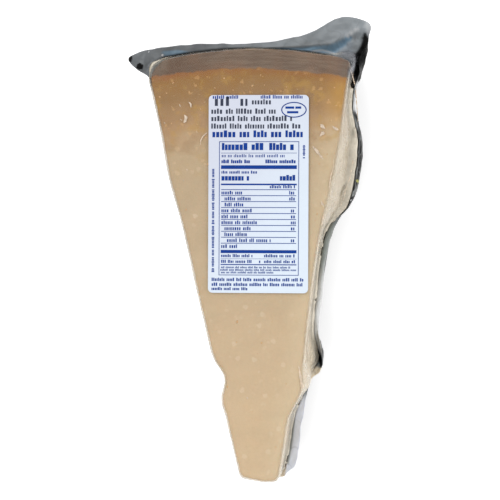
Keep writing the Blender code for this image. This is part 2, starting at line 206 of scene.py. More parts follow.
def newPieceFrom(name, bm):  # a piece from an edited mesh, which is freed
    bm.verts.index_update()
    piece = newPiece(name, [v.co[:] for v in bm.verts], [[v.index for v in f.verts] for f in bm.faces])
    bm.free()
    return piece


def addLayer(mesh, name, values, kind="FLOAT"):  # a value at each vertex, for a node tree to read
    field = "value" if kind == "FLOAT" else "vector"
    mesh.attributes.new(name, kind, "POINT").data.foreach_set(field, np.ravel(values))


def mergedMesh(node):  # a CAD node's loose triangles, joined into one skin
    bm = bmesh.new()
    bm.from_mesh(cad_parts[node].data)
    bmesh.ops.remove_doubles(bm, verts=bm.verts[:], dist=1e-6)
    bm.normal_update()
    bm.verts.index_update()
    return bm


def plainMesh(piece):  # turns what the modifiers make into the piece's own mesh
    bpy.context.view_layer.update()
    graph = bpy.context.evaluated_depsgraph_get()
    mesh = bpy.data.meshes.new_from_object(piece.evaluated_get(graph))
    old = piece.data
    piece.modifiers.clear()
    piece.data = mesh
    mesh.name = piece.name
    bpy.data.meshes.remove(old)
    return mesh


def addTree(piece, tree, **values):  # hangs a node tree on a piece, each input set by its identifier
    modifier = piece.modifiers.new(tree.name, "NODES")
    modifier.node_group = tree
    for item in tree.interface.items_tree:
        if item.in_out == "INPUT" and item.name in values:
            modifier[item.identifier] = values[item.name]


def named(tree, name, kind="FLOAT"):  # reads what addLayer wrote, in a geometry tree
    return addNode(tree, "GeometryNodeInputNamedAttribute", {"Name": name}, data_type=kind).outputs[0]


def moveBy(tree, geometry, offset):
    inputs = {"Geometry": geometry, "Offset": offset}
    return addNode(tree, "GeometryNodeSetPosition", inputs).outputs["Geometry"]


def radiusHere(tree):  # metres from the wheel's centre, seen from above
    away = vectorCalc(tree, "SUBTRACT", addNode(tree, "GeometryNodeInputPosition").outputs[0], wheelCentre)
    return lengthOf(tree, vectorCalc(tree, "MULTIPLY", away, (1.0, 1.0, 0.0)))


def closeTree(tree, geometry, output):  # every tree ends in real geometry with its material
    source = tree.nodes["Group Input"].outputs["Material"]
    real = addNode(tree, "GeometryNodeRealizeInstances", {"Geometry": geometry}).outputs["Geometry"]
    coated = addNode(tree, "GeometryNodeSetMaterial", {"Geometry": real, "Material": source})
    tree.links.new(coated.outputs["Geometry"], output.inputs["Geometry"])


def newTree(name, inputs):
    base = [("Geometry", "NodeSocketGeometry", None), ("Material", "NodeSocketMaterial", None)]
    return newGroup(name, base + inputs, [("Geometry", "NodeSocketGeometry")], "GeometryNodeTree")


def wear(piece, node):  # the last calls on a finished piece
    for polygon in piece.data.polygons:
        polygon.use_smooth = True
    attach(piece, "root")
    if node:
        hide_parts(node)
    print(f"{piece.name}: {len(piece.data.polygons)} faces")


# Shader groups that several finishes share


def buildWheelPlace():  # where a point lies in the wheel, in millimetres and degrees
    inputs = [("Vector", "NodeSocketVector", None)]
    outputs = [("Radius", "NodeSocketFloat"), ("Angle", "NodeSocketFloat"), ("Height", "NodeSocketFloat")]
    group, source, result = newGroup("wheelPlace", inputs, outputs)
    local = vectorCalc(group, "SUBTRACT", source.outputs["Vector"], wheelCentre)
    parts = addNode(group, "ShaderNodeSeparateXYZ", {0: local}).outputs
    flat = addNode(group, "ShaderNodeCombineXYZ", {"X": parts["X"], "Y": parts["Y"]}).outputs[0]
    made = {
        "Radius": times(group, lengthOf(group, flat), 1 / millimetre),
        "Angle": calc(group, "DEGREES", calc(group, "ARCTAN2", parts["X"], parts["Y"])),
        "Height": times(group, parts["Z"], 1 / millimetre),
    }
    feed(group, result, made)
    return group


def buildMottle():  # patches and fine grain that lighten and darken a colour
    inputs = [
        ("Vector", "NodeSocketVector", None),
        ("Patch", "NodeSocketFloat", 0.012),
        ("Grain", "NodeSocketFloat", 0.001),
        ("Contrast", "NodeSocketFloat", 0.1),
    ]
    outputs = [("Value", "NodeSocketFloat"), ("Grain", "NodeSocketFloat")]
    group, source, result = newGroup("mottle", inputs, outputs)
    value = source.outputs
    patch = minus(group, noiseAt(group, value["Vector"], value["Patch"], 3.0), 0.5)
    grain = minus(group, noiseAt(group, value["Vector"], value["Grain"]), 0.5)
    both = calc(group, "ADD", times(group, patch, 1.4), grain)
    swing = times(group, both, value["Contrast"])
    feed(group, result, {"Value": calc(group, "ADD", swing, 1.0), "Grain": grain})
    return group


def buildCrumple():  # long sharp wrinkles of a crumpled film, and the lines along their tops
    inputs = [("Vector", "NodeSocketVector", None), ("Size", "NodeSocketFloat", 0.006)]
    outputs = [("Height", "NodeSocketFloat"), ("Crease", "NodeSocketFloat")]
    group, source, result = newGroup("crumple", inputs, outputs)
    coords, size = source.outputs["Vector"], source.outputs["Size"]
    bent = vectorCalc(group, "ADD", coords, jitter(group, coords, size, times(group, size, 0.7), 1.0))
    swell = noiseAt(group, bent, size, 1.0)
    away = calc(group, "ABSOLUTE", minus(group, swell, 0.5))
    fine = noiseAt(group, bent, calc(group, "DIVIDE", size, 2.6), 1.0)
    fineAway = calc(group, "ABSOLUTE", minus(group, fine, 0.5))
    ridges = (smooth(group, away, 0.0, 0.13, 1.0, 0.0), smooth(group, fineAway, 0.0, 0.11, 0.3, 0.0))
    made = {
        "Height": calc(group, "ADD", calc(group, "ADD", *ridges), swell),
        "Crease": smooth(group, away, 0.0, 0.022, 1.0, 0.0),
    }
    feed(group, result, made)
    return group


def dabs(tree, coords, marks):  # small ragged marks round some places, taken together
    squeeze = Vector((1.0, 1.0, 0.25))  # a mark reaches further up and down than sideways
    bent = vectorCalc(tree, "ADD", coords, jitter(tree, coords, 0.0011, 0.0016))
    bent = vectorCalc(tree, "MULTIPLY", bent, squeeze)
    total = 0.0
    for place, radius in marks:
        away = lengthOf(tree, vectorCalc(tree, "SUBTRACT", bent, spot(*place) * squeeze))
        reach = radius * millimetre
        total = calc(tree, "MAXIMUM", smooth(tree, away, reach, 0.65 * reach), total)
    return total


wheelPlace = buildWheelPlace()
mottle = buildMottle()
crumple = buildCrumple()
print("shader groups ready")


def placeInWheel(tree, coords):
    return useGroup(tree, wheelPlace, {"Vector": coords})


def mottled(tree, coords, patch, grain, contrast):
    return useGroup(tree, mottle, {"Vector": coords, "Patch": patch, "Grain": grain, "Contrast": contrast})


def crumpled(tree, coords, size):
    return useGroup(tree, crumple, {"Vector": coords, "Size": size})


def mottledColour(tree, colour, patches, share=1.0):
    return mixColours(tree, share, colour, patches["Value"], "MULTIPLY")


# Cheese: the paste and its rind

cheeseLook = {
    "voxel": 0.00085,
    "sink": 0.00025,  # how far the paste lies under the film
    "wallDepth": 0.00062,  # depth of the crags on the broken sides
    "faceShare": 0.16,  # the labelled face is pressed nearly flat
    "crag": 0.0075,
    "chip": 0.0011,  # extra depth where the rind is chipped, at its left end
    "rindInner": 215.9,  # millimetres from the wheel's centre, on the middle line
    "rindSlant": -0.172,  # millimetres for each degree to the right
    "rindWobble": 2.4,  # millimetres by which its border wanders
    "streakStretch": (0.9, 0.4, 0.12),  # for distance, angle and height in the rind's streaks
    "toneWobble": 14.0,  # millimetres by which the tones of the paste wander
    "pasteStops": (  # millimetres from the wheel's centre, and the colour there
        (60.0, (209, 182, 145)),
        (110.0, (202, 176, 141)),
        (135.0, (196, 172, 138)),
        (165.0, (191, 167, 134)),
        (183.0, (188, 163, 128)),
        (195.0, (175, 139, 99)),
        (206.0, (150, 113, 67)),
        (214.0, (148, 105, 45)),
    ),
    "rindLine": (146, 88, 34),
    "rindColours": ((99, 78, 62), (121, 101, 83)),
    "rindSkin": (136, 108, 74),
    "rindBlush": (134, 98, 72),
    # painted shade on the rind's left end
    "rindLeftShade": (80, 55, 34),
    # painted sheen of the film along the right edge of the face
    "paleEdgeSheen": (213, 192, 157),
    "goldEdge": (199, 149, 68),
    "crystal": (232, 214, 188),
    "goldCrystal": (214, 168, 108),
    "faintCrystals": (  # millimetres right and up from the label's middle, and above the floor
        (-6.8, -46.1, 49.8), (-0.2, -49.2, 49.8), (-1.6, -54.0, 49.8), (4.0, -60.4, 49.8), (-12.1, -61.1, 49.8),
        (-10.7, -66.9, 49.8), (-4.1, -67.9, 49.8), (7.7, -70.3, 49.8), (-9.5, -80.1, 49.8), (-0.1, -82.8, 49.8),
        (0.4, -105.7, 49.8), (-9.4, -107.3, 49.8), (5.0, -96.4, 49.8), (-33.0, 20.0, 49.8), (-26.4, -8.0, 49.8),
    ),
    "faintRadius": 1.2,
    "stains": (("brownStain", 0.0095, 0.5), ("goldStain", 0.0065, 0.48)),  # colour, size of a patch, strength
    "goldStain": (188, 146, 66),
    "brownStain": (146, 108, 66),
}


def rindDepth(tree, place, wobble):  # how many millimetres a point lies inside the rind's uneven border
    inner = timesPlus(tree, place["Angle"], cheeseLook["rindSlant"], cheeseLook["rindInner"])
    uneven = times(tree, minus(tree, wobble, 0.5), cheeseLook["rindWobble"])
    return calc(tree, "ADD", minus(tree, place["Radius"], inner), uneven)


def crystalSpots(tree, coords, cell, small, large, share):  # scattered pale spots of uneven size
    cells = addNode(tree, "ShaderNodeTexVoronoi", {"Vector": coords, "Scale": 1.0 / cell}).outputs
    drawn = addNode(tree, "ShaderNodeSeparateColor", {0: cells["Color"]}).outputs
    reach = smooth(tree, drawn["Red"], 0.0, 1.0, small, large)
    mark = smooth(tree, minus(tree, reach, cells["Distance"]), 0.0, 0.5 * small)
    return times(tree, mark, calc(tree, "LESS_THAN", drawn["Green"], share))


def pasteColour(tree, coords, place):  # pale at the tip, golden and stained near the rind, with crystals
    look = cheeseLook
    radius = place["Radius"]
    shifted = timesPlus(tree, minus(tree, noiseAt(tree, coords, 0.007, 3.0), 0.5), look["toneWobble"], radius)
    span = wedge["rindRadius"] - wedge["tipRadius"]
    share = calc(tree, "DIVIDE", minus(tree, shifted, wedge["tipRadius"]), span)
    ramp = addNode(tree, "ShaderNodeValToRGB", {"Fac": share})
    stops = ramp.color_ramp.elements
    for index, (distance, colour) in enumerate(look["pasteStops"]):
        stop = stops[index] if index < 2 else stops.new(1.0)
        stop.position = (distance - wedge["tipRadius"]) / span
        stop.color = tint(*colour)
    # painted sheen: the paste turns paler near the right edge, and the edge tone is golden near the rind
    toEdge = times(tree, minus(tree, wedge["halfAngle"], place["Angle"]), radius, math.radians(1.0))
    edgeShare = smooth(tree, toEdge, 1.0, 13.0, 0.62, 0.0)
    edge = overlaid(tree, tint(*look["paleEdgeSheen"]), look, (smooth(tree, radius, 188.0, 204.0), "goldEdge"))
    paste = mixColours(tree, edgeShare, ramp.outputs["Color"], edge)
    for name, size, strength in look["stains"]:
        stains = smooth(tree, noiseAt(tree, coords, size, 4.0, 0.6), 0.50, 0.68)
        stains = times(tree, stains, smooth(tree, radius, 165.0, 205.0, 0.08 * strength, strength))
        paste = overlaid(tree, paste, look, (stains, name))
    ragged = vectorCalc(tree, "ADD", coords, jitter(tree, coords, 0.0016, 0.0026))
    large = times(tree, crystalSpots(tree, ragged, 0.0085, 0.07, 0.20, 0.55), 0.45)
    fine = crystalSpots(tree, ragged, 0.0032, 0.12, 0.34, 0.5)
    fine = times(tree, fine, smooth(tree, radius, 160.0, 205.0, 0.22, 0.75))
    faint = dabs(tree, coords, [(where, look["faintRadius"]) for where in look["faintCrystals"]])
    spots = highest(tree, large, fine, times(tree, faint, 0.5))
    crystal = overlaid(tree, tint(*look["crystal"]), look, (smooth(tree, radius, 165.0, 200.0), "goldCrystal"))
    return mixColours(tree, times(tree, spots, 0.5), paste, crystal)


def rindColour(tree, coords, angle, depth, streaks):  # grey brown, streaked along the rim, with painted shade that darkens it to the left
    dark, pale = cheeseLook["rindColours"]
    rind = mixColours(tree, smooth(tree, streaks, 0.28, 0.72), tint(*dark), tint(*pale))
    blush = smooth(tree, noiseAt(tree, coords, 0.011, 3.0), 0.45, 0.7, 0.0, 0.45)
    # painted shade: the rind darkens towards its left end
    left = smooth(tree, angle, -1.0, -8.5, 0.0, 0.6)
    skinShare = smooth(tree, depth, 7.4, 8.6, 0.0, 0.6)
    return overlaid(tree, rind, cheeseLook, (blush, "rindBlush"), (left, "rindLeftShade"), (skinShare, "rindSkin"))


def makeCheeseMaterial():
    material, tree, shader = newMaterial("agedPaste", **{"Subsurface Weight": 0.08, "Subsurface Scale": 0.003})
    coords = objectCoords(tree)
    place = placeInWheel(tree, coords)
    angle = place["Angle"]
    patches = mottled(tree, coords, 0.010, 0.0011, 0.13)
    depth = rindDepth(tree, place, noiseAt(tree, coords, 0.004))
    line = times(tree, smooth(tree, depth, -3.6, -0.2), smooth(tree, angle, -2.0, -9.0, 0.5, 0.85))
    paste = overlaid(tree, pasteColour(tree, coords, place), cheeseLook, (line, "rindLine"))
    stretch = zip("XYZ", (place["Radius"], angle, place["Height"]), cheeseLook["streakStretch"])
    along = addNode(tree, "ShaderNodeCombineXYZ", {axis: times(tree, part, by) for axis, part, by in stretch})
    streaks = noiseAt(tree, along.outputs[0], 1.0, 3.0)
    rind = rindColour(tree, coords, angle, depth, streaks)
    colour = mixColours(tree, smooth(tree, depth, -0.5, 0.5), paste, rind)
    height = calc(tree, "ADD", noiseAt(tree, coords, 0.0007, 3.0), times(tree, streaks, 0.4))
    finish = {
        "Base Color": mottledColour(tree, colour, patches),
        "Roughness": timesPlus(tree, patches["Grain"], 0.3, 0.52),
        "Normal": bumped(tree, height, 0.5, 0.00012),
    }
    feed(tree, shader, finish)
    return material


def buildReliefTree():  # crags cut inwards from the skin, so that nothing stands proud of the film
    settings = [
        ("Sink", "NodeSocketFloat", 0.0),
        ("Depth", "NodeSocketFloat", 0.0),
        ("Face share", "NodeSocketFloat", 0.0),
        ("Crag", "NodeSocketFloat", 0.01),
        ("Chip", "NodeSocketFloat", 0.0),
        ("Chip place", "NodeSocketVector", None),
    ]
    tree, source, output = newTree("brokenRelief", settings)
    value = source.outputs
    position = addNode(tree, "GeometryNodeInputPosition").outputs[0]
    normal = addNode(tree, "GeometryNodeInputNormal").outputs[0]
    upward = addNode(tree, "ShaderNodeSeparateXYZ", {0: normal}).outputs["Z"]
    wall = smooth(tree, calc(tree, "ABSOLUTE", upward), 0.9, 0.3)
    coarse = smooth(tree, noiseAt(tree, position, value["Crag"], 5.0, 0.62), 0.25, 0.75)
    rough = calc(tree, "ADD", coarse, times(tree, noiseAt(tree, position, 0.0022), 0.45))
    rind = smooth(tree, radiusHere(tree), 0.2185, 0.2215, 1.0, 0.3)
    share = addNode(tree, "ShaderNodeMix", {0: wall, 2: value["Face share"], 3: 1.0}).outputs[0]
    depth = times(tree, times(tree, value["Depth"], rough), times(tree, share, rind))
    near = lengthOf(tree, vectorCalc(tree, "SUBTRACT", position, value["Chip place"]))
    broken = smooth(tree, noiseAt(tree, position, 0.0042, 4.0, 0.65), 0.42, 0.62)
    chip = times(tree, smooth(tree, near, 0.014, 0.003), broken, value["Chip"])
    inward = times(tree, calc(tree, "ADD", calc(tree, "ADD", depth, chip), value["Sink"]), -1.0)
    closeTree(tree, moveBy(tree, value["Geometry"], scaled(tree, normal, inward)), output)
    return tree


def wedgeSkin():  # the CAD wedge as an even, fine skin
    skin = newPieceFrom("wedgeSkin", mergedMesh("cheese_in_clear_film"))
    remesh = skin.modifiers.new("evenSkin", "REMESH")
    remesh.mode = "VOXEL"
    remesh.voxel_size = cheeseLook["voxel"]
    plainMesh(skin)
    return skin


def furthest(points, direction):  # the point that lies furthest along a direction
    return Vector(points[int(np.argmax(points @ np.array(direction)))])


def meshPoints(mesh):
    points = np.empty(len(mesh.vertices) * 3)
    mesh.vertices.foreach_get("co", points)
    return points.reshape(-1, 3)


skin = wedgeSkin()
skinPoints = meshPoints(skin.data)
leftCorner = furthest(skinPoints, (-0.7, 1.0, 0.4))
rightCorner = furthest(skinPoints, (0.7, 1.0, 0.4))

cheese = showMesh("cheese", skin.data.copy())
reliefInputs = {
    "Material": makeCheeseMaterial(),
    "Sink": cheeseLook["sink"],
    "Depth": cheeseLook["wallDepth"],
    "Face share": cheeseLook["faceShare"],
    "Crag": cheeseLook["crag"],
    "Chip": cheeseLook["chip"],
    "Chip place": leftCorner,
}
addTree(cheese, buildReliefTree(), **reliefInputs)
plainMesh(cheese)
wear(cheese, "cheese_in_clear_film")


# Crystals: hard white grains that stand a little out of the paste

crystalLook = {
    "apart": 0.0025,
    "density": 60000.0,
    "smallest": 0.00014,
    "largest": 0.00060,
    "seed": 7,
    "colour": (210, 170, 122),
}


def makeCrystalMaterial():
    material, tree, shader = newMaterial("whiteCrystal", **{"Subsurface Weight": 0.1, "Subsurface Scale": 0.001})
    grain = mottled(tree, objectCoords(tree), 0.003, 0.0004, 0.25)
    finish = {
        "Base Color": mottledColour(tree, tint(*crystalLook["colour"]), grain),
        "Roughness": timesPlus(tree, grain["Grain"], 0.3, 0.45),
    }
    feed(tree, shader, finish)
    return material


def buildCrystalTree():  # grains of uneven size and shape, closer together near the rind
    settings = [
        ("Apart", "NodeSocketFloat", 0.005),
        ("Density", "NodeSocketFloat", 1000.0),
        ("Smallest", "NodeSocketFloat", 0.0002),
        ("Largest", "NodeSocketFloat", 0.0006),
        ("Seed", "NodeSocketInt", 1),
    ]
    tree, source, output = newTree("scatteredCrystals", settings)
    value = source.outputs
    radius = radiusHere(tree)
    inPaste = smooth(tree, radius, 0.2145, 0.2135)
    spreading = {
        "Mesh": value["Geometry"],
        "Distance Min": value["Apart"],
        "Density Max": value["Density"],
        "Density Factor": times(tree, smooth(tree, radius, 0.150, 0.195, 0.35, 1.0), inPaste),
        "Seed": value["Seed"],
    }
    spread = addNode(tree, "GeometryNodeDistributePointsOnFaces", spreading, distribute_method="POISSON").outputs
    grain = addNode(tree, "GeometryNodeMeshIcoSphere", {"Radius": 1.0, "Subdivisions": 2}).outputs["Mesh"]
    drawn = addNode(tree, "FunctionNodeRandomValue", {"Seed": value["Seed"]}, data_type="FLOAT").outputs[1]
    ends = {0: calc(tree, "POWER", drawn, 2.5), 2: value["Smallest"], 3: value["Largest"]}
    size = addNode(tree, "ShaderNodeMix", ends).outputs[0]
    ends = {0: (0.7, 0.5, 0.45), 1: (1.2, 1.0, 0.6), "Seed": value["Seed"]}
    shape = addNode(tree, "FunctionNodeRandomValue", ends, data_type="FLOAT_VECTOR").outputs[0]
    placing = {
        "Points": spread["Points"],
        "Instance": grain,
        "Rotation": spread["Rotation"],
        "Scale": scaled(tree, shape, size),
    }
    placed = addNode(tree, "GeometryNodeInstanceOnPoints", placing).outputs["Instances"]
    loose = addNode(tree, "GeometryNodeRealizeInstances", {"Geometry": placed}).outputs["Geometry"]
    where = addNode(tree, "GeometryNodeInputPosition").outputs[0]
    closeTree(tree, moveBy(tree, loose, jitter(tree, where, 0.0005, 0.0006)), output)
    return tree


def makeCrystals():
    piece = showMesh("crystals", cheese.data.copy())
    inputs = {name.capitalize(): crystalLook[name] for name in ("apart", "density", "smallest", "largest", "seed")}
    addTree(piece, buildCrystalTree(), Material=makeCrystalMaterial(), **inputs)
    plainMesh(piece)
    wear(piece, None)


makeCrystals()


# Dark film: black outside and silver inside, with a loose margin that is folded and crumpled

darkLook = {
    "thickness": 0.0004,
    "tolerance": 0.00001,
    "levels": 2,
    "near": 0.0006,
    "far": 0.0022,
    "crumpleDepth": 0.0007,
    "crumpleSizes": (0.0085, 0.0034),
    "black": (4, 5, 5),
    # painted sheen on the black film's creases and crumpled side strip
    "sheen": (124, 126, 124),
    "silver": (134, 140, 144),
    "silverLeft": (109, 113, 116),
    "silverDark": (92, 96, 98),
    "silverPale": (186, 188, 190),
    "flap": (224, 229, 240),
    "stretch": (128, 133, 128),  # the grey stretch of margin along the right side
    "sliver": (206, 207, 205),
    # painted reflections of the sky on the silver film
    "skyReflection": (107, 140, 164),
    "greyBlueReflection": (132, 142, 152),
    # painted shade: the dark line where the margin meets the rind's wall
    "root": (52, 46, 42),
    "tight": (206, 190, 164),
    # the film over the paste at the tab's foot, made paler than its own colour as painted light where it lies in
    # shade
    "footLit": (250, 240, 222),
    # painted shade: a green-grey line along the root of the flap
    "flapRootShade": (128, 134, 118),
    "yellow": (172, 168, 90),
    "white": (206, 207, 204),
    "stripDark": (26, 27, 28),
    # painted sheen in the crumpled strip
    "stripSheen": (92, 93, 92),
    "pleatHeight": 0.0007,
    "pleatReach": 0.0022,
    "valleyDepth": 0.0008,
    "valleyBlur": 0.0007,
    "patchBlur": 0.0004,
    "freeRise": 0.0015,  # the folds fade out over this height below the seam
    "lineReach": {"gleam": 0.0011, "paleStreak": 0.0007, "rindShadow": 0.0012},  # patches that are lines
}
# Folds and patches of the film, each a line or an outline in millimetres right and up from the label's middle
filmPatches = {
    "pleat": ((22.3, 60.8), (26.8, 61.2), (31.0, 61.9), (34.4, 63.6), (36.9, 65.1), (38.9, 65.8), (41.5, 68.4)),
    "gleam": ((37.2, 65.5), (39.2, 66.2), (41.2, 68.2)),
    # the valley is sunk into the film, and its outline also carries a painted blue reflection
    "valley": (
        (4.6, 61.8), (17.2, 61.7), (29.9, 62.2), (35.4, 64.0), (38.4, 66.4), (39.2, 64.6), (36.1, 61.2),
        (31.4, 58.4), (27.7, 58.9), (17.2, 60.4), (4.5, 61.2),
    ),
    "rindShadow": (
        (-41.0, 59.7), (-35.9, 60.6), (-29.5, 61.3), (-20.9, 62.1), (-12.4, 62.4), (-4.0, 62.2), (4.5, 61.6),
        (12.9, 60.8), (21.3, 59.6), (27.6, 58.1), (31.3, 56.9),
    ),
    "paleStreak": ((22.2, 59.9), (26.4, 60.2), (29.8, 59.2), (31.4, 58.3)),
    # a band of painted bluish reflection on the right ear
    "haze": ((34.0, 60.6), (39.1, 62.9), (38.9, 55.4), (37.6, 54.6), (35.2, 57.2)),
    "leftSkyReflection": ((-41.0, 62.6), (-34.5, 62.9), (-30.0, 61.9), (-33.0, 60.9), (-40.0, 60.6)),
    "rolledBlack": (
        (44.8, 66.8), (43.7, 65.0), (42.8, 61.3), (40.8, 58.7), (39.2, 56.6), (38.8, 54.5), (39.0, 52.4),
        (39.7, 49.2), (40.4, 46.0), (52.0, 46.0), (52.0, 63.2), (46.6, 63.2),
    ),
    "darkStrip": (
        (40.2, 46.5), (40.7, 38.1), (40.9, 30.6), (39.9, 24.0), (39.1, 17.4), (38.6, 12.2), (37.1, 5.5),
        (35.4, 1.1), (34.2, -2.5), (32.1, -6.5), (30.4, -9.3), (52.0, -9.3), (52.0, 46.5),
    ),
    "tabBlack": ((19.4, -64.4), (20.4, -65.4), (22.2, -69.0), (22.6, -72.8), (21.2, -72.9), (20.1, -69.6)),
    "tabFoot": (
        (16.3, -77.6), (17.7, -73.9), (19.5, -72.5), (20.9, -73.2), (22.2, -72.9), (24.5, -73.2), (23.0, -78.5),
        (17.5, -79.8),
    ),
    # painted shade along the root of the flap
    "flapRootShade": (
        (9.8, -94.7), (8.6, -103.1), (7.1, -110.6), (6.4, -113.6), (5.5, -112.8), (7.4, -103.1), (8.8, -94.9),
    ),
    "curl": ((44.6, 72.5), (45.4, 66.8), (46.3, 64.2), (49.5, 63.6), (52.0, 72.5)),
    "bareStretch": ((36.0, 46.0), (36.0, 33.5), (40.4, 33.5), (41.4, 32.5), (52.0, 34.5), (52.0, 46.0)),
}
filmSpots = {  # each mark's place and radius, in millimetres
    "black": (((-55.8, 60.2, 25.0), 2.2), ((-51.1, 56.5, 25.2), 1.7), ((46.3, 63.4, 30.0), 0.9)),
    "pale": (((-46.9, 62.7, 25.2), 0.5), ((-41.4, 61.0, 25.2), 0.5), ((-28.5, 61.7, 25.2), 0.35)),
    "yellow": (((39.3, 4.6, 28.0), 0.9),),
    "white": (((36.2, -3.3, 28.0), 0.8), ((37.2, -1.4, 28.0), 0.5)),
}


def painted(tree, name):  # how much of a patch lies on the surface there
    return addNode(tree, "ShaderNodeAttribute", attribute_name=name).outputs["Fac"]


def tightEdge(tree, place):  # the left side and the tip have no margin, and the film takes the paste's colour
    radius, angle = place["Radius"], place["Angle"]
    left = times(tree, smooth(tree, angle, -3.0, -6.0), smooth(tree, radius, 216.0, 210.0))
    tip = times(tree, smooth(tree, radius, 54.0, 51.0), smooth(tree, angle, 9.5, 8.0))
    return highest(tree, left, tip)


def makeBlackFilm():
    look = darkLook
    material, tree, shader = newMaterial("blackFilm", **{"Specular IOR Level": 0.06})
    coords = objectCoords(tree)
    place = placeInWheel(tree, coords)
    stretched = vectorCalc(tree, "MULTIPLY", coords, (1.0, 0.55, 1.0))
    folds = crumpled(tree, stretched, 0.0048)
    patches = mottled(tree, coords, 0.004, 0.0009, 0.5)
    side = times(tree, smooth(tree, place["Radius"], 205.0, 196.0), smooth(tree, place["Height"], 19.0, 24.0))
    # painted sheen: lighter grey on the creases and in patches of the crumpled side strip, and silver-grey shine
    lit = smooth(tree, noiseAt(tree, stretched, 0.0034), 0.50, 0.62)
    sheen = times(tree, highest(tree, times(tree, folds["Crease"], 0.7), lit), timesPlus(tree, side, 0.97, 0.01))
    shine = times(tree, smooth(tree, noiseAt(tree, stretched, 0.0021, 1.0), 0.64, 0.72), side)
    colour = overlaid(tree, tint(*look["black"]), look, (sheen, "sheen"), (shine, "silver"))
    high = smooth(tree, place["Height"], 22.8, 24.2)
    layers = (
        (times(tree, painted(tree, "bareStretch"), high), "silverPale"),
        (times(tree, tightEdge(tree, place), high), "tight"),
        # painted light at the tab's foot
        (times(tree, painted(tree, "tabFoot"), high), "footLit"),
        (dabs(tree, coords, filmSpots["yellow"]), "yellow"),
        (dabs(tree, coords, filmSpots["white"]), "white"),
    )
    finish = {
        "Base Color": overlaid(tree, mottledColour(tree, colour, patches), look, *layers),
        "Roughness": timesPlus(tree, patches["Grain"], 0.25, 0.3),
        "Normal": bumped(tree, folds["Height"], 0.6, 0.0007),
    }
    feed(tree, shader, finish)
    return material


def makeSilverFilm():
    look = darkLook
    material, tree, shader = newMaterial("silverFilm", **{"Specular IOR Level": 0.12, "Coat Roughness": 0.15})
    coords = objectCoords(tree)
    place = placeInWheel(tree, coords)
    radius, angle = place["Radius"], place["Angle"]
    folds = crumpled(tree, coords, 0.012)
    patches = mottled(tree, coords, 0.007, 0.0012, 0.10)
    # painted blue sky reflections in the valley and at the rind's left end, and a painted bluish band on the right
    # ear
    blue = highest(tree, painted(tree, "valley"), times(tree, painted(tree, "leftSkyReflection"), 0.7))
    curl, streak = times(tree, painted(tree, "curl"), 0.6), times(tree, painted(tree, "paleStreak"), 0.7)
    pale = highest(tree, painted(tree, "gleam"), curl, streak, dabs(tree, coords, filmSpots["pale"]))
    layers = (
        (smooth(tree, angle, 2.0, -6.0), "silverLeft"),
        (smooth(tree, radius, 158.0, 152.0), "stretch"),
        (smooth(tree, radius, 141.0, 124.0), "sliver"),
        (smooth(tree, radius, 104.0, 98.0), "silver"),
        (smooth(tree, radius, 84.0, 78.0), "flap"),
        # painted shade along the root of the flap
        (times(tree, painted(tree, "flapRootShade"), 0.6), "flapRootShade"),
        (tightEdge(tree, place), "tight"),
        # painted light at the tab's foot
        (painted(tree, "tabFoot"), "footLit"),
        (times(tree, blue, 0.85), "skyReflection"),
        (times(tree, painted(tree, "haze"), 0.5), "greyBlueReflection"),
        (pale, "silverPale"),
        (times(tree, folds["Crease"], 0.18), "silverDark"),
    )
    colour = mottledColour(tree, overlaid(tree, tint(*look["silver"]), look, *layers), patches)
    stretched = vectorCalc(tree, "MULTIPLY", coords, (1.0, 0.5, 1.0))
    # painted sheen: paler patches in the dark crumpled strip
    sheen = smooth(tree, noiseAt(tree, stretched, 0.0026, 3.0), 0.40, 0.62)
    strip = overlaid(tree, tint(*look["stripDark"]), look, (sheen, "stripSheen"))
    colour = mixColours(tree, painted(tree, "darkStrip"), colour, strip)
    # painted shade: darker next to the rind's wall, where the margin lies close to the cheese
    root = smooth(tree, painted(tree, "room"), 0.16, 0.0, 0.0, 0.85)
    root = times(tree, root, smooth(tree, radius, 219.0, 223.0), smooth(tree, angle, -9.8, -8.6))
    shadow = times(tree, painted(tree, "rindShadow"), 0.95)
    marks = dabs(tree, coords, filmSpots["black"])
    dark = highest(tree, painted(tree, "rolledBlack"), marks, painted(tree, "tabBlack"), shadow)
    plain = minus(tree, 1.0, dark)
    finish = {
        "Base Color": overlaid(tree, colour, look, (root, "root"), (dark, "black")),
        "Coat Weight": times(tree, plain, 0.3),
        "Metallic": times(tree, plain, 0.2),
        "Roughness": timesPlus(tree, patches["Grain"], 0.3, 0.4),
        "Normal": bumped(tree, folds["Height"], 0.15, 0.0005),
    }
    feed(tree, shader, finish)
    return material


def softStep(value, low, high):
    share = np.clip((value - low) / (high - low), 0.0, 1.0)
    return share * share * (3.0 - 2.0 * share)


def awayFrom(points, line, closed):  # distance from each point to a line seen from above
    ends = np.array([spot(*place, 0.0)[:2] for place in line])
    starts = ends if closed else ends[:-1]
    stops = np.roll(ends, -1, axis=0) if closed else ends[1:]
    nearest = np.full(len(points), np.inf)
    for start, stop in zip(starts, stops):
        along = stop - start
        share = np.clip((points[:, :2] - start) @ along / (along @ along), 0.0, 1.0)
        nearest = np.minimum(nearest, np.linalg.norm(points[:, :2] - start - np.outer(share, along), axis=1))
    return nearest


def lineShare(points, line, reach):  # 1 on a line and 0 at that distance from it
    return softStep(awayFrom(points, line, False), reach, 0.0)


def patchShare(points, outline, blur):  # 1 inside an outline and 0 outside it, with a soft edge
    corners = np.array([spot(*place, 0.0)[:2] for place in outline])
    inside = np.zeros(len(points), bool)
    for (ax, ay), (bx, by) in zip(corners, np.roll(corners, -1, axis=0)):
        if ay != by:
            crossing = (bx - ax) * (points[:, 1] - ay) / (by - ay) + ax
            inside ^= ((ay > points[:, 1]) != (by > points[:, 1])) & (points[:, 0] < crossing)
    away = awayFrom(points, outline, True)
    return softStep(np.where(inside, away, -away), -blur, blur)


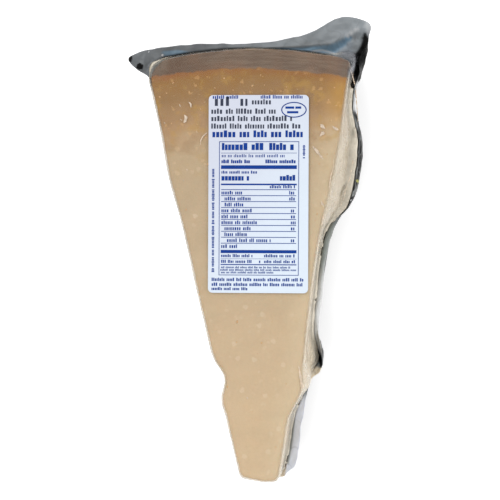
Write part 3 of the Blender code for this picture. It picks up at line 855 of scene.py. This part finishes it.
def filmEdge(bm):  # the narrow faces round the film's free edge, which is as thick as the film
    rim = set()
    for edge in bm.edges:
        along = edge.verts[1].co - edge.verts[0].co
        if abs(along.length - darkLook["thickness"]) > darkLook["tolerance"]:
            continue
        way = along.normalized()
        sides = [[f.normal.dot(way) for f in vert.link_faces if f not in edge.link_faces] for vert in edge.verts]
        if all(max(abs(share) for share in shares) > 0.85 for shares in sides):
            rim.update(edge.link_faces)
    return rim


def outerSide(bm):  # the faces that are reached from the back without crossing the film's free edge
    rim = filmEdge(bm)
    start = min(bm.faces, key=lambda face: face.calc_center_median().z)
    reached = {start}
    waiting = [start]
    while waiting:
        face = waiting.pop()
        for edge in face.edges:
            for other in edge.link_faces:
                if other not in reached and other not in rim:
                    reached.add(other)
                    waiting.append(other)
    return reached


def buildCrumpleTree():  # both sides of the film move together, as far as the room round them allows
    settings = [
        ("Inner material", "NodeSocketMaterial", None),
        ("Depth", "NodeSocketFloat", 0.0),
        ("Broad", "NodeSocketFloat", 0.01),
        ("Fine", "NodeSocketFloat", 0.004),
    ]
    tree, source, output = newTree("crumpledMargin", settings)
    value = source.outputs
    position = addNode(tree, "GeometryNodeInputPosition").outputs[0]
    moves = [jitter(tree, position, value[label], share, 1.0) for label, share in (("Broad", 1.0), ("Fine", 0.45))]
    shift = scaled(tree, vectorCalc(tree, "ADD", *moves), times(tree, named(tree, "room"), value["Depth"]))
    moved = moveBy(tree, value["Geometry"], shift)
    geometry = addNode(tree, "GeometryNodeRealizeInstances", {"Geometry": moved}).outputs["Geometry"]
    side = addNode(tree, "GeometryNodeInputMaterialIndex").outputs[0]
    for label, index in (("Material", 0), ("Inner material", 1)):
        chosen = addNode(tree, "FunctionNodeCompare", {2: side, 3: index}, data_type="INT", operation="EQUAL")
        inputs = {"Geometry": geometry, "Selection": chosen.outputs[0], "Material": value[label]}
        geometry = addNode(tree, "GeometryNodeSetMaterial", inputs).outputs["Geometry"]
    tree.links.new(geometry, output.inputs["Geometry"])
    return tree


def makeDarkFilm():
    look = darkLook
    cheeseShape = mergedMesh("cheese_in_clear_film")
    surface = BVHTree.FromBMesh(cheeseShape)
    cheeseShape.free()
    bm = mergedMesh("dark_film")
    outer = outerSide(bm)
    for face in bm.faces:
        face.material_index = 0 if face in outer else 1
    bmesh.ops.join_triangles(
        bm, faces=bm.faces[:], cmp_materials=True, angle_face_threshold=0.5, angle_shape_threshold=0.9
    )
    sides = [face.material_index for face in bm.faces]
    piece = newPieceFrom("dark_film_skin", bm)
    piece.data.polygons.foreach_set("material_index", sides)
    distances = np.array([surface.find_nearest(vertex.co)[3] for vertex in piece.data.vertices])
    addLayer(piece.data, "room", np.clip((distances - look["near"]) / (look["far"] - look["near"]), 0.0, 1.0))
    outside, inside = makeBlackFilm(), makeSilverFilm()
    piece.data.materials.append(outside)
    piece.data.materials.append(inside)
    smoothing = piece.modifiers.new("softFolds", "SUBSURF")
    smoothing.levels = look["levels"]
    smoothing.render_levels = look["levels"]
    broad, fine = look["crumpleSizes"]
    inputs = {"Inner material": inside, "Depth": 2.0 * look["crumpleDepth"], "Broad": broad, "Fine": fine}
    addTree(piece, buildCrumpleTree(), Material=outside, **inputs)
    foldFilm(plainMesh(piece))
    wear(piece, "dark_film")
    return piece


def foldFilm(mesh):  # the pleat and the valley at the right ear, and the patches that the finishes read
    points = meshPoints(mesh)
    look = darkLook
    pleat = lineShare(points, filmPatches["pleat"], look["pleatReach"])
    valley = patchShare(points, filmPatches["valley"], look["valleyBlur"])
    free = softStep(points[:, 2], wedge["seamHeight"] - look["freeRise"], wedge["seamHeight"])
    points[:, 2] += free * (pleat * look["pleatHeight"] - valley * look["valleyDepth"])
    mesh.vertices.foreach_set("co", points.ravel())
    plain = [name for name in filmPatches if name not in ("pleat", "valley", *look["lineReach"])]
    shares = {name: patchShare(points, filmPatches[name], look["patchBlur"]) for name in plain}
    shares["valley"] = valley
    for name, reach in look["lineReach"].items():
        shares[name] = lineShare(points, filmPatches[name], reach)
    for name, share in shares.items():
        addLayer(mesh, name, share)
    mesh.update()


darkFilm = makeDarkFilm()


# Clear film: drawn tight over the upper half of the wedge, with tents at the two corners of the rind

clearLook = {
    "clearance": 0.00014,
    "thickness": 0.00007,
    "seamRise": 0.0001,  # how far above the seam the film ends
    "rindEdge": (0.2165, 0.2195),  # metres from the wheel's centre, where the rind's clear film begins
    "tents": (  # the corner it starts from, which way it is pulled, how far, how wide it is, and how hazy
        (leftCorner, Vector((-0.88, 0.48, 0.0)), 0.0045, 0.0125, 0.75),
        (rightCorner, Vector((0.45, 0.89, 0.0)), 0.0058, 0.0150, 0.30),
    ),
    "faceHaze": 0.01,
    # film haze on the walls, made stronger as a painted reflection of the light
    "wallHazeAndSheen": 0.40,
    "rindHaze": 0.03,
    "seamHaze": 0.34,
    "seamBand": 0.006,  # height of the hazy band above the seam
    "colour": (229, 219, 199),
    "tipColour": (243, 234, 215),
    "tentColour": (176, 164, 140),
    "rightTent": (150, 152, 158),
    # colour of the painted shadows in narrow gaps under the film
    "gapShadow": (128, 122, 102),
    "shadows": (  # painted shadows of narrow gaps under the film, in millimetres from the label's middle
        ((39.0, 26.4), (38.4, 23.1), (38.1, 20.2)),
        ((37.4, 17.3), (37.1, 14.0)),
        ((35.5, 3.7), (33.7, 0.9), (32.8, -1.2)),
    ),
    "marginReach": (  # millimetres up from the label's middle, and how far the film reaches out there
        (-60.0, 1.0), (-54.0, 2.0), (-12.0, 2.0), (-6.0, 3.5), (40.0, 3.5), (46.0, 0.4),
    ),
    "reachHeight": 0.012,  # only what is lower than this above the seam reaches out
    "lowerings": (0.0, 0.0005, 0.001, 0.0015, 0.002, 0.003, 0.004),  # how far below it the margin is looked for
    "marginGap": 0.00025,
    "liftBand": 0.004,  # this near the seam, the film is lifted over the margin
    "marginRise": 0.00055,  # least height above a margin that lies under the film
    "shadowReach": 0.0008,
    "shadowHeights": (0.048, 0.044),  # where a shadow starts and where it is full
    "mostHaze": 0.88,
}


def makeClearFilmMaterial():
    look = clearLook
    material, tree, shader = newMaterial("clearFilm", **{"IOR": 1.5, "Specular IOR Level": 0.6})
    coords = objectCoords(tree)
    haze = painted(tree, "haze")
    patches = mottled(tree, coords, 0.009, 0.0020, 0.45)
    folds = crumpled(tree, coords, 0.011)
    creased = timesPlus(tree, times(tree, folds["Crease"], haze), 0.2, times(tree, haze, patches["Value"]))
    place = placeInWheel(tree, coords)
    radius, angle = place["Radius"], place["Angle"]
    atRind = smooth(tree, radius, 212.0, 217.0)
    layers = (
        (smooth(tree, radius, 165.0, 130.0), "tipColour"),
        (times(tree, atRind, smooth(tree, angle, -10.4, -11.2)), "tentColour"),
        (times(tree, atRind, smooth(tree, angle, 8.5, 10.0)), "rightTent"),
        # painted shadows in the narrow gaps under the film
        (times(tree, painted(tree, "gap"), 0.7), "gapShadow"),
    )
    colour = overlaid(tree, tint(*look["colour"]), look, *layers)
    dull = smooth(tree, radius, 216.0, 220.0, 0.16, 0.62)  # no hard glint along the edge of the rind
    finish = {
        "Base Color": mottledColour(tree, colour, patches, 0.06),
        "Alpha": calc(tree, "MAXIMUM", creased, 0.01, clamped=True),
        "Roughness": timesPlus(tree, patches["Grain"], 0.1, dull),
        "Normal": bumped(tree, folds["Height"], 0.2, 0.0005),
    }
    feed(tree, shader, finish)
    return material


def reachMargin(points, normals, seam, below):  # moves low points out to the margin, and says how far they went
    look = clearLook
    shares = np.zeros(len(points))
    for index in np.nonzero(points[:, 2] < seam + look["reachHeight"])[0]:
        way = Vector((normals[index][0], normals[index][1], 0.0))
        if way.length < 0.3:
            continue
        way.normalize()
        up = (points[index][1] - labelCentre.y) / millimetre
        reach = float(np.interp(up, *zip(*look["marginReach"]))) * millimetre
        for lower in look["lowerings"]:
            start = Vector(points[index]) - Vector((0.0, 0.0, lower))
            distance = below.ray_cast(start, way, reach)[3]
            if distance is not None:
                shares[index] = softStep(lower, 0.0045, 0.001)
                move = max(distance - look["marginGap"], 0.0) * shares[index]
                points[index, :2] += move * np.array(way[:2])
                break
    return shares


def makeClearFilm():
    look = clearLook
    seam = wedge["seamHeight"] + look["seamRise"]
    bm = bmesh.new()
    bm.from_mesh(skin.data)
    everything = bm.verts[:] + bm.edges[:] + bm.faces[:]
    bmesh.ops.bisect_plane(bm, geom=everything, plane_co=(0, 0, seam), plane_no=(0, 0, -1), clear_outer=True)
    bm.normal_update()
    points = np.array([v.co for v in bm.verts])
    normals = np.array([v.normal for v in bm.verts])
    top = points[:, 2].max()
    fall = np.clip((top - points[:, 2]) / (top - seam), 0.0, 1.0)
    wall = softStep(1.0 - np.abs(normals[:, 2]), 0.03, 0.6)
    radius = np.hypot(points[:, 0] - wheelCentre.x, points[:, 1] - wheelCentre.y)
    onRind = softStep(radius, *look["rindEdge"])
    # the haze is the film's own, and on the walls it is also a painted reflection of the light
    haze = look["faceHaze"] + wall * (look["wallHazeAndSheen"] + (look["rindHaze"] - look["wallHazeAndSheen"]) * onRind)
    points += normals * look["clearance"]
    for corner, way, stand, width, tentHaze in look["tents"]:
        away = np.hypot(points[:, 0] - corner.x, points[:, 1] - corner.y)
        near = softStep(away, width, 0.0) * fall
        points += np.outer(near * stand, way)
        haze += tentHaze * softStep(away, 0.65 * width, 0.25 * width) * 4.0 * fall * (1.0 - fall)
    below = BVHTree.FromObject(darkFilm, bpy.context.evaluated_depsgraph_get())
    reached = reachMargin(points, normals, seam, below)
    nearSeam = softStep(points[:, 2], seam + look["seamBand"], seam)
    haze += look["seamHaze"] * np.maximum(reached, nearSeam) * (1.0 - onRind)
    for index in np.nonzero(points[:, 2] < seam + look["liftBand"])[0]:
        x, y, z = points[index]
        start = Vector((x, y, seam - look["liftBand"]))
        hit = below.ray_cast(start, Vector((0, 0, 1)), 2.0 * look["liftBand"])[0]
        if hit is not None:
            points[index, 2] = max(z, hit.z + look["marginRise"])
    for vertex, point in zip(bm.verts, points):
        vertex.co = point
    piece = newPieceFrom("clear_film", bm)
    addLayer(piece.data, "haze", np.clip(haze, 0.0, look["mostHaze"]))
    # painted shadows along the gaps under the film
    shadows = [lineShare(points, line, look["shadowReach"]) for line in look["shadows"]]
    addLayer(piece.data, "gap", np.maximum.reduce(shadows) * softStep(points[:, 2], *look["shadowHeights"]))
    piece.data.materials.append(makeClearFilmMaterial())
    thick = piece.modifiers.new("filmThickness", "SOLIDIFY")
    thick.thickness = look["thickness"]
    thick.offset = -1.0
    plainMesh(piece)
    wear(piece, None)
    return piece


clearFilm = makeClearFilm()
bpy.data.objects.remove(skin)


# Wrinkles: places where the clear film stands up in a fold, drawn as whitish beads that carry a painted highlight,
# and its free edge

wrinkleLook = {
    "sides": 8,
    "flat": 0.28,  # height of a fold as a share of its half width
    "step": 0.0004,
    "sink": 0.00003,
    "edgeHeight": 0.031,  # where a place of the free edge lies just beyond the margin
    "above": 0.06,  # height from which the films are looked for
    "beadRange": 0.002,  # only what lies this near the films is pressed down
    # whitish: the painted highlight of the folds, and the colour of the free edge
    "colour": (242, 222, 198),
    "cover": 0.66,
}
# Each fold with its painted highlight, or stretch of free edge: half width in millimetres, and its places in
# millimetres right and up from the label's middle
filmGlintsAndEdge = (
    (0.85, ((-29.6, 33.8), (-28.8, 32.6), (-29.2, 31.2), (-29.9, 30.4))),
    (0.30, ((-31.4, 38.2), (-30.9, 36.9))),
    (0.34, ((-27.6, 38.9), (-26.7, 38.1), (-26.6, 36.4))),
    (0.30, ((-31.4, 32.1), (-30.4, 31.3))),
    (0.26, ((-24.9, 26.9), (-24.2, 26.0))),
    (0.30, ((-20.1, 26.1), (-22.0, 24.7), (-23.0, 23.0), (-23.2, 21.0))),
    (0.26, ((-38.1, 31.0), (-37.4, 30.2))),
    (0.26, ((-29.4, 11.5), (-28.9, 10.6))),
    (0.26, ((-31.0, 7.1), (-30.5, 6.3))),
    (0.80, ((26.4, 27.6), (27.4, 26.4), (28.4, 25.6))),
    (0.85, ((27.9, 24.4), (26.7, 23.4), (25.9, 22.6))),
    (0.60, ((31.3, 26.6), (32.4, 25.6), (33.8, 24.9))),
    (0.55, ((22.8, 18.8), (24.6, 16.6), (26.0, 14.6), (27.2, 13.1))),
    (0.24, ((31.2, 13.0), (31.0, 9.5), (29.8, 6.0), (29.0, 0.5))),
    (0.60, ((25.6, -3.6), (26.0, -5.0), (26.8, -6.4))),
    (0.30, ((26.6, -8.8), (25.4, -13.6))),
    (0.30, ((38.9, 52.2), (39.4, 48.4), (39.5, 45.2))),
    (0.55, ((14.2, -70.5), (14.6, -74.8), (15.2, -79.4), (14.8, -82.6))),
    (0.35, ((-7.7, -82.9), (-7.1, -83.9))),
    (0.26, ((39.4, 49.5), (40.0, 44.5), (40.4, 38.2), (40.5, 30.7), (39.6, 24.1), (38.8, 17.4))),
    (0.26, ((38.8, 17.4), (38.2, 12.2), (36.7, 5.6), (35.0, 1.2), (33.8, -2.5), (31.9, -6.5))),
)


def makeGlintAndEdgeMaterial():
    material, tree, shader = newMaterial("filmGlintAndEdge", **{"Roughness": 0.3, "Specular IOR Level": 0.5})
    uneven = mottled(tree, objectCoords(tree), 0.0016, 0.0005, 0.9)
    finish = {
        "Base Color": mottledColour(tree, tint(*wrinkleLook["colour"]), uneven, 0.1),
        "Alpha": calc(tree, "MULTIPLY", uneven["Value"], wrinkleLook["cover"], clamped=True),
    }
    feed(tree, shader, finish)
    return material


def buildFoldTree():  # lines swept into low tapered beads
    settings = [("Sides", "NodeSocketInt", 8), ("Step", "NodeSocketFloat", 0.001)]
    tree, source, output = newTree("filmGlintsAndEdge", settings)
    value = source.outputs
    line = addNode(tree, "GeometryNodeMeshToCurve", {"Mesh": value["Geometry"]}).outputs["Curve"]
    even = addNode(tree, "GeometryNodeResampleCurve", {"Curve": line, "Length": value["Step"]}, mode="LENGTH")
    along = addNode(tree, "GeometryNodeSplineParameter").outputs["Factor"]
    taper = calc(tree, "POWER", calc(tree, "SINE", times(tree, along, math.pi)), 0.5)
    place = addNode(tree, "GeometryNodeInputPosition").outputs[0]
    ragged = smooth(tree, noiseAt(tree, place, 0.0014), 0.3, 0.7, 0.45, 1.25)
    ring = addNode(tree, "GeometryNodeCurvePrimitiveCircle", {"Resolution": value["Sides"], "Radius": 1.0})
    sweep = {
        "Curve": even.outputs[0],
        "Profile Curve": ring.outputs["Curve"],
        "Scale": times(tree, named(tree, "halfWidth"), taper, ragged),
        "Fill Caps": True,
    }
    closeTree(tree, addNode(tree, "GeometryNodeCurveToMesh", sweep).outputs["Mesh"], output)
    return tree


def coverHeights(covers, x, y):  # how high each film lies at that place
    start = Vector((x, y, wrinkleLook["above"]))
    hits = [cover.ray_cast(start, Vector((0, 0, -1)))[0] for cover in covers]
    return [hit.z for hit in hits if hit is not None]


def makeWrinkles():
    look = wrinkleLook
    graph = bpy.context.evaluated_depsgraph_get()
    covers = [BVHTree.FromObject(item, graph) for item in (clearFilm, darkFilm)]
    points, edges, widths = [], [], []
    for halfWidth, line in filmGlintsAndEdge:
        for index, (right, up) in enumerate(line):
            place = spot(right, up, 0.0)
            height = max(coverHeights(covers, place.x, place.y), default=look["edgeHeight"])
            points.append((place.x, place.y, height - look["sink"]))
            widths.append(halfWidth * millimetre)
            if index:
                edges.append((len(points) - 2, len(points) - 1))
    piece = newPiece("film_glints_and_edge", points, [], edges)
    addLayer(piece.data, "halfWidth", widths)
    addTree(piece, buildFoldTree(), Material=makeGlintAndEdgeMaterial(), Sides=look["sides"], Step=look["step"])
    plainMesh(piece)
    lowerBeads(piece.data, covers)
    wear(piece, None)


def lowerBeads(mesh, covers):  # presses the round beads down to low folds
    points = meshPoints(mesh)
    for index, (x, y, z) in enumerate(points):
        heights = coverHeights(covers, x, y)
        if heights and abs(max(heights) - z) < wrinkleLook["beadRange"]:
            points[index, 2] = max(heights) + (z - max(heights)) * wrinkleLook["flat"]
    mesh.vertices.foreach_set("co", points.ravel())
    mesh.update()


makeWrinkles()


# Label: the CAD sheet stays and gets a paper finish

labelLook = {
    "paper": (226, 238, 251),
    # painted shade: the paper darkens towards the top left
    "shadedPaper": (214, 219, 234),
    "width": 0.0412,
    "height": 0.0811,
    "printRise": 0.00003,
    "printThickness": 0.00002,
    "blue": (8, 60, 146),
    "dark": (58, 64, 82),
    "seed": 11,
}


def makePaper():
    look = labelLook
    material, tree, shader = newMaterial("coatedPaper", **{"Coat Weight": 0.08, "Coat Roughness": 0.2})
    coords = objectCoords(tree)
    fibres = mottled(tree, coords, 0.014, 0.0008, 0.05)
    local = addNode(tree, "ShaderNodeSeparateXYZ", {0: vectorCalc(tree, "SUBTRACT", coords, labelCentre)}).outputs
    # painted shade: the paper is darker towards the top left
    across = times(tree, local["X"], 0.5 / look["width"])
    lean = timesPlus(tree, local["Y"], -0.9 / look["height"], across)
    colour = overlaid(tree, tint(*look["paper"]), look, (smooth(tree, lean, -0.55, 0.45, 1.0, 0.0), "shadedPaper"))
    finish = {
        "Base Color": mottledColour(tree, colour, fibres),
        "Roughness": timesPlus(tree, fibres["Grain"], 0.2, 0.45),
        "Normal": bumped(tree, noiseAt(tree, coords, 0.0006, 3.0), 0.2, 0.00005),
    }
    feed(tree, shader, finish)
    return material


def makeInk(name, colour):
    material, tree, shader = newMaterial(name, **{"Specular IOR Level": 0.15})
    cover = mottled(tree, objectCoords(tree), 0.004, 0.0004, 0.35)
    finish = {
        "Base Color": mottledColour(tree, tint(*colour), cover),
        "Roughness": timesPlus(tree, cover["Grain"], 0.2, 0.5),
    }
    feed(tree, shader, finish)
    return material


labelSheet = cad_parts["label"]
labelSheet.data.materials.clear()
labelSheet.data.materials.append(makePaper())


# Print: rows of plain blocks, rules and bars, in millimetres right and down from the label's top left corner

# Each row of word-like blocks: down, height, share of ink, and the stretches that it fills
blueRows = (
    (0.8, 1.4, 0.7, ((1.5, 12.3), (21.3, 39.9))),
    (15.9, 2.8, 0.86, ((1.4, 40.1),)),
    (21.1, 2.9, 0.95, ((5.4, 22.9), (24.9, 36.3))),
    (24.9, 1.25, 0.6, ((5.3, 31.6),)),
    (27.2, 1.5, 0.9, ((5.3, 17.2), (23.4, 36.3))),
    (31.6, 1.2, 0.75, ((5.3, 20.4),)),
    (33.9, 2.3, 0.98, ((5.3, 18.2), (29.4, 36.3))),
    (37.6, 1.2, 0.75, ((25.2, 36.2),)),
    (70.6, 0.82, 0.72, ((5.3, 34.2),)),
    (71.65, 0.82, 0.72, ((5.0, 36.5),)),
    (72.7, 0.82, 0.72, ((5.3, 27.0),)),
    (75.6, 1.35, 0.8, ((1.4, 39.8),)),
    (77.6, 1.35, 0.8, ((1.4, 39.4),)),
    (79.4, 1.2, 0.8, ((1.4, 16.4),)),
)
darkRows = (
    (2.6, 3.7, 0.62, ((2.0, 9.8), (12.6, 16.8))),
    (2.8, 2.1, 0.72, ((17.6, 26.2),)),
    (6.6, 2.15, 0.74, ((0.9, 29.2),)),
    (9.6, 2.15, 0.74, ((0.9, 34.6),)),
    (12.7, 2.1, 0.72, ((0.9, 38.2),)),
)
# Each bar or rule: left, right, top, bottom
blueBars = (
    (4.4, 37.3, 19.0, 19.25),
    (4.4, 37.3, 73.65, 73.9),
    (4.4, 4.65, 19.0, 73.9),
    (37.05, 37.3, 19.0, 73.9),
    (5.2, 36.4, 23.7, 23.86),
    (5.2, 36.4, 28.8, 30.3),
    (5.2, 36.4, 36.3, 36.95),
    (5.2, 36.4, 63.5, 64.8),
    (5.2, 36.4, 67.05, 67.17),
    (5.2, 36.4, 69.3, 69.7),
)
factRows = {"first": 40.0, "pitch": 2.44, "height": 1.5, "left": 5.3, "right": 36.2, "rule": 0.27, "ink": 0.74}
# Each fact row: how far it is set in, its length, and the width of the block at its right end
factBlocks = (
    (0.0, 8.8, 3.0), (1.3, 11.6, 3.0), (1.3, 8.8, 0.0), (0.0, 13.0, 2.3), (0.0, 11.1, 2.3), (0.0, 16.5, 2.3),
    (1.3, 11.2, 2.3), (1.3, 10.8, 0.0), (2.3, 18.4, 2.3), (0.0, 7.6, 0.0),
)
smallRows = {
    "downs": (65.85, 68.2),
    "stretches": ((5.3, 18.4), (20.9, 21.7), (23.0, 36.2)),
    "height": 1.25,
    "ink": 0.78,
}
uprightRows = ((2.0, 1.1, 30.2, 73.2), (39.3, 1.0, 20.5, 26.2))  # across, height of a letter, top, bottom
uprightInk = 0.85
oval = {"across": 35.1, "down": 6.1, "half": (5.0, 3.0), "line": 0.42, "steps": 36}
ovalMarks = [(33.4, 5.2, 3.6, 0.9), (36.9, 5.2, 2.4, 0.9), (34.6, 7.1, 4.6, 0.9)]  # right, down, width, height


wordLook = {  # sizes are shares of a row's height
    "letters": (3, 8),
    "width": (0.42, 0.66),
    "tallOnes": 0.3,  # share of the blocks that are as tall as the row
    "low": 0.78,
    "filled": 0.86,  # share of a block's width that ink can fill
    "gap": 0.5,
    "least": 0.4,  # room that another word needs
}


def wordBlocks(draw, start, end, height, ink):  # blocks of uneven width, in groups with gaps between them
    look = wordLook
    blocks = []
    at = start
    while at < end - look["least"] * height:
        for letter in range(draw.randint(*look["letters"])):
            width = height * draw.uniform(*look["width"])
            if at + width > end:
                break
            tall = height * (1.0 if draw.random() < look["tallOnes"] else look["low"])
            blocks.append((at + width / 2, width * ink * look["filled"], tall))
            at += width
        at += height * look["gap"]
    return blocks


def wordRow(draw, down, stretches, height, ink):  # right, down, width and height of every block in a row
    return [
        (middle, down + (height - tall) / 2, width, tall)
        for start, end in stretches
        for middle, width, tall in wordBlocks(draw, start, end, height, ink)
    ]


def printBlocks(rows, bars):  # the same four numbers for every block of one ink
    draw = random.Random(labelLook["seed"])
    blocks = []
    for down, height, ink, stretches in rows:
        blocks += wordRow(draw, down, stretches, height, ink)
    for left, right, top, bottom in bars:
        blocks.append(((left + right) / 2, (top + bottom) / 2, right - left, bottom - top))
    return blocks


def bluePrint():
    blocks = printBlocks(blueRows, blueBars)
    draw = random.Random(labelLook["seed"] + 1)
    rows = factRows
    for index, (indent, length, rightWidth) in enumerate(factBlocks):
        down = rows["first"] + rows["pitch"] * index
        left = rows["left"] + indent
        stretches = ((left, left + length), (rows["right"] - rightWidth, rows["right"]))
        blocks += wordRow(draw, down, stretches, rows["height"], rows["ink"])
        middle = (rows["left"] + rows["right"]) / 2
        blocks.append((middle, down - rows["pitch"] / 2, rows["right"] - rows["left"], rows["rule"]))
    for down in smallRows["downs"]:
        blocks += wordRow(draw, down, smallRows["stretches"], smallRows["height"], smallRows["ink"])
    for across, height, start, end in uprightRows:
        for middle, width, tall in wordBlocks(draw, start, end, height, uprightInk):
            blocks.append((across, middle, tall, width))
    return blocks


def buildPrintTree():  # one thin plate for each block
    tree, source, output = newTree("printedBlocks", [("Thickness", "NodeSocketFloat", 0.00002)])
    value = source.outputs
    thin = addNode(tree, "ShaderNodeCombineXYZ", {"Z": value["Thickness"]}).outputs[0]
    placing = {
        "Points": addNode(tree, "GeometryNodeMeshToPoints", {"Mesh": value["Geometry"]}).outputs[0],
        "Instance": addNode(tree, "GeometryNodeMeshCube").outputs["Mesh"],
        "Rotation": named(tree, "blockTurn", "FLOAT_VECTOR"),
        "Scale": vectorCalc(tree, "ADD", named(tree, "blockSize", "FLOAT_VECTOR"), thin),
    }
    closeTree(tree, addNode(tree, "GeometryNodeInstanceOnPoints", placing).outputs["Instances"], output)
    return tree


def onLabel(right, down):  # a place on the print, in the frame
    across = right * millimetre - labelLook["width"] / 2
    up = labelLook["height"] / 2 - down * millimetre
    turn = Matrix.Rotation(wedge["labelTurn"], 3, "Z")
    flat = turn @ Vector((across, up, 0.0))
    height = labelHigh.z + labelLook["printRise"] + labelLook["printThickness"] / 2
    return Vector((labelCentre.x + flat.x, labelCentre.y + flat.y, height))


def ovalBlocks():  # a plain ring of short strokes, with its own turn for each
    blocks = []
    halfWidth, halfHeight = oval["half"]
    for step in range(oval["steps"]):
        angle = math.tau * step / oval["steps"]
        right = oval["across"] + halfWidth * math.cos(angle)
        down = oval["down"] - halfHeight * math.sin(angle)
        slope = math.atan2(halfHeight * math.cos(angle), -halfWidth * math.sin(angle))
        reach = math.hypot(halfHeight * math.cos(angle), halfWidth * math.sin(angle)) * math.tau / oval["steps"]
        blocks.append((right, down, reach * 1.15, oval["line"], slope))
    return blocks


def makePrint(name, blocks, material, tree):
    piece = newPiece(name, [onLabel(*block[:2]) for block in blocks], [])
    sizes = [(block[2] * millimetre, block[3] * millimetre, 0.0) for block in blocks]
    turns = [(0.0, 0.0, wedge["labelTurn"] + sum(block[4:])) for block in blocks]
    addLayer(piece.data, "blockSize", sizes, "FLOAT_VECTOR")
    addLayer(piece.data, "blockTurn", turns, "FLOAT_VECTOR")
    addTree(piece, tree, Material=material, Thickness=labelLook["printThickness"])
    plainMesh(piece)
    wear(piece, None)
    for polygon in piece.data.polygons:
        polygon.use_smooth = False


printTree = buildPrintTree()
makePrint("print_blue", bluePrint() + ovalBlocks() + ovalMarks, makeInk("blueInk", labelLook["blue"]), printTree)
makePrint("print_dark", printBlocks(darkRows, ()), makeInk("darkInk", labelLook["dark"]), printTree)


# Floor, light and camera

stageLook = {
    "floor": (254, 254, 254),
    "floorGlow": 0.50,
    "worldStrength": 0.62,
    "focusDistance": 0.9,
    "pixel": 0.00041,  # metres on the labelled face for each of the picture's 500 pixels
    "tilt": math.radians(6.0),  # the camera leans to the right of straight above
    "roll": math.radians(-1.95),
    "target": spot(-4.26, -22.8, 50.0),
    "suns": (  # where each shines from, how wide it looks in degrees, and its strength
        (Vector((-0.55, 0.45, 0.95)), 50.0, 0.95),
        (Vector((0.90, -0.15, 0.55)), 50.0, 0.65),
        (Vector((-0.15, -0.35, 1.00)), 14.0, 0.20),
    ),
}


def makeFloor():
    reach, depth = 3.0, -0.0001
    corners = [(-reach, -reach, depth), (reach, -reach, depth), (reach, reach, depth), (-reach, reach, depth)]
    floor = newPiece("floor", corners, [(0, 1, 2, 3)])
    material, tree, shader = newMaterial("paleFloor", **{"Roughness": 0.9, "Specular IOR Level": 0.1})
    grain = mottled(tree, objectCoords(tree), 0.2, 0.01, 0.01)
    feed(tree, shader, {"Base Color": mottledColour(tree, tint(*stageLook["floor"]), grain)})
    shader.inputs["Emission Strength"].default_value = stageLook["floorGlow"]
    floor.data.materials.append(material)


def makeLights():
    world = bpy.data.worlds.new("studio")
    bpy.context.scene.world = world
    world.use_nodes = True
    background = world.node_tree.nodes["Background"]
    background.inputs["Color"].default_value = (1.0, 1.0, 1.0, 1.0)
    background.inputs["Strength"].default_value = stageLook["worldStrength"]
    for index, (place, width, strength) in enumerate(stageLook["suns"]):
        light = bpy.data.lights.new(f"softSun{index + 1}", "SUN")
        light.angle = math.radians(width)
        light.energy = strength
        lamp = bpy.data.objects.new(light.name, light)
        lamp.rotation_euler = place.to_track_quat("Z", "Y").to_euler()
        bpy.context.scene.collection.objects.link(lamp)


def makeCamera():
    look = stageLook
    sideways = Vector((math.cos(look["roll"]), math.sin(look["roll"]), 0.0))
    up = Vector((-math.sin(look["roll"]), math.cos(look["roll"]), 0.0))
    back = math.sin(look["tilt"]) * sideways + math.cos(look["tilt"]) * Vector((0, 0, 1))
    right = math.cos(look["tilt"]) * sideways - math.sin(look["tilt"]) * Vector((0, 0, 1))
    lens = bpy.data.cameras.new("camera")
    lens.sensor_width = 36.0
    lens.lens = lens.sensor_width * look["focusDistance"] / (look["pixel"] * 500)
    lens.clip_start = 0.01
    lens.clip_end = 20.0
    camera = bpy.data.objects.new("camera", lens)
    bpy.context.scene.collection.objects.link(camera)
    matrix = Matrix((right, up, back)).transposed().to_4x4()
    matrix.translation = look["target"] + back * look["focusDistance"]
    camera.matrix_world = matrix
    bpy.context.scene.camera = camera


makeFloor()
makeLights()
makeCamera()
bpy.context.scene.view_settings.view_transform = "Standard"
print("stage ready")
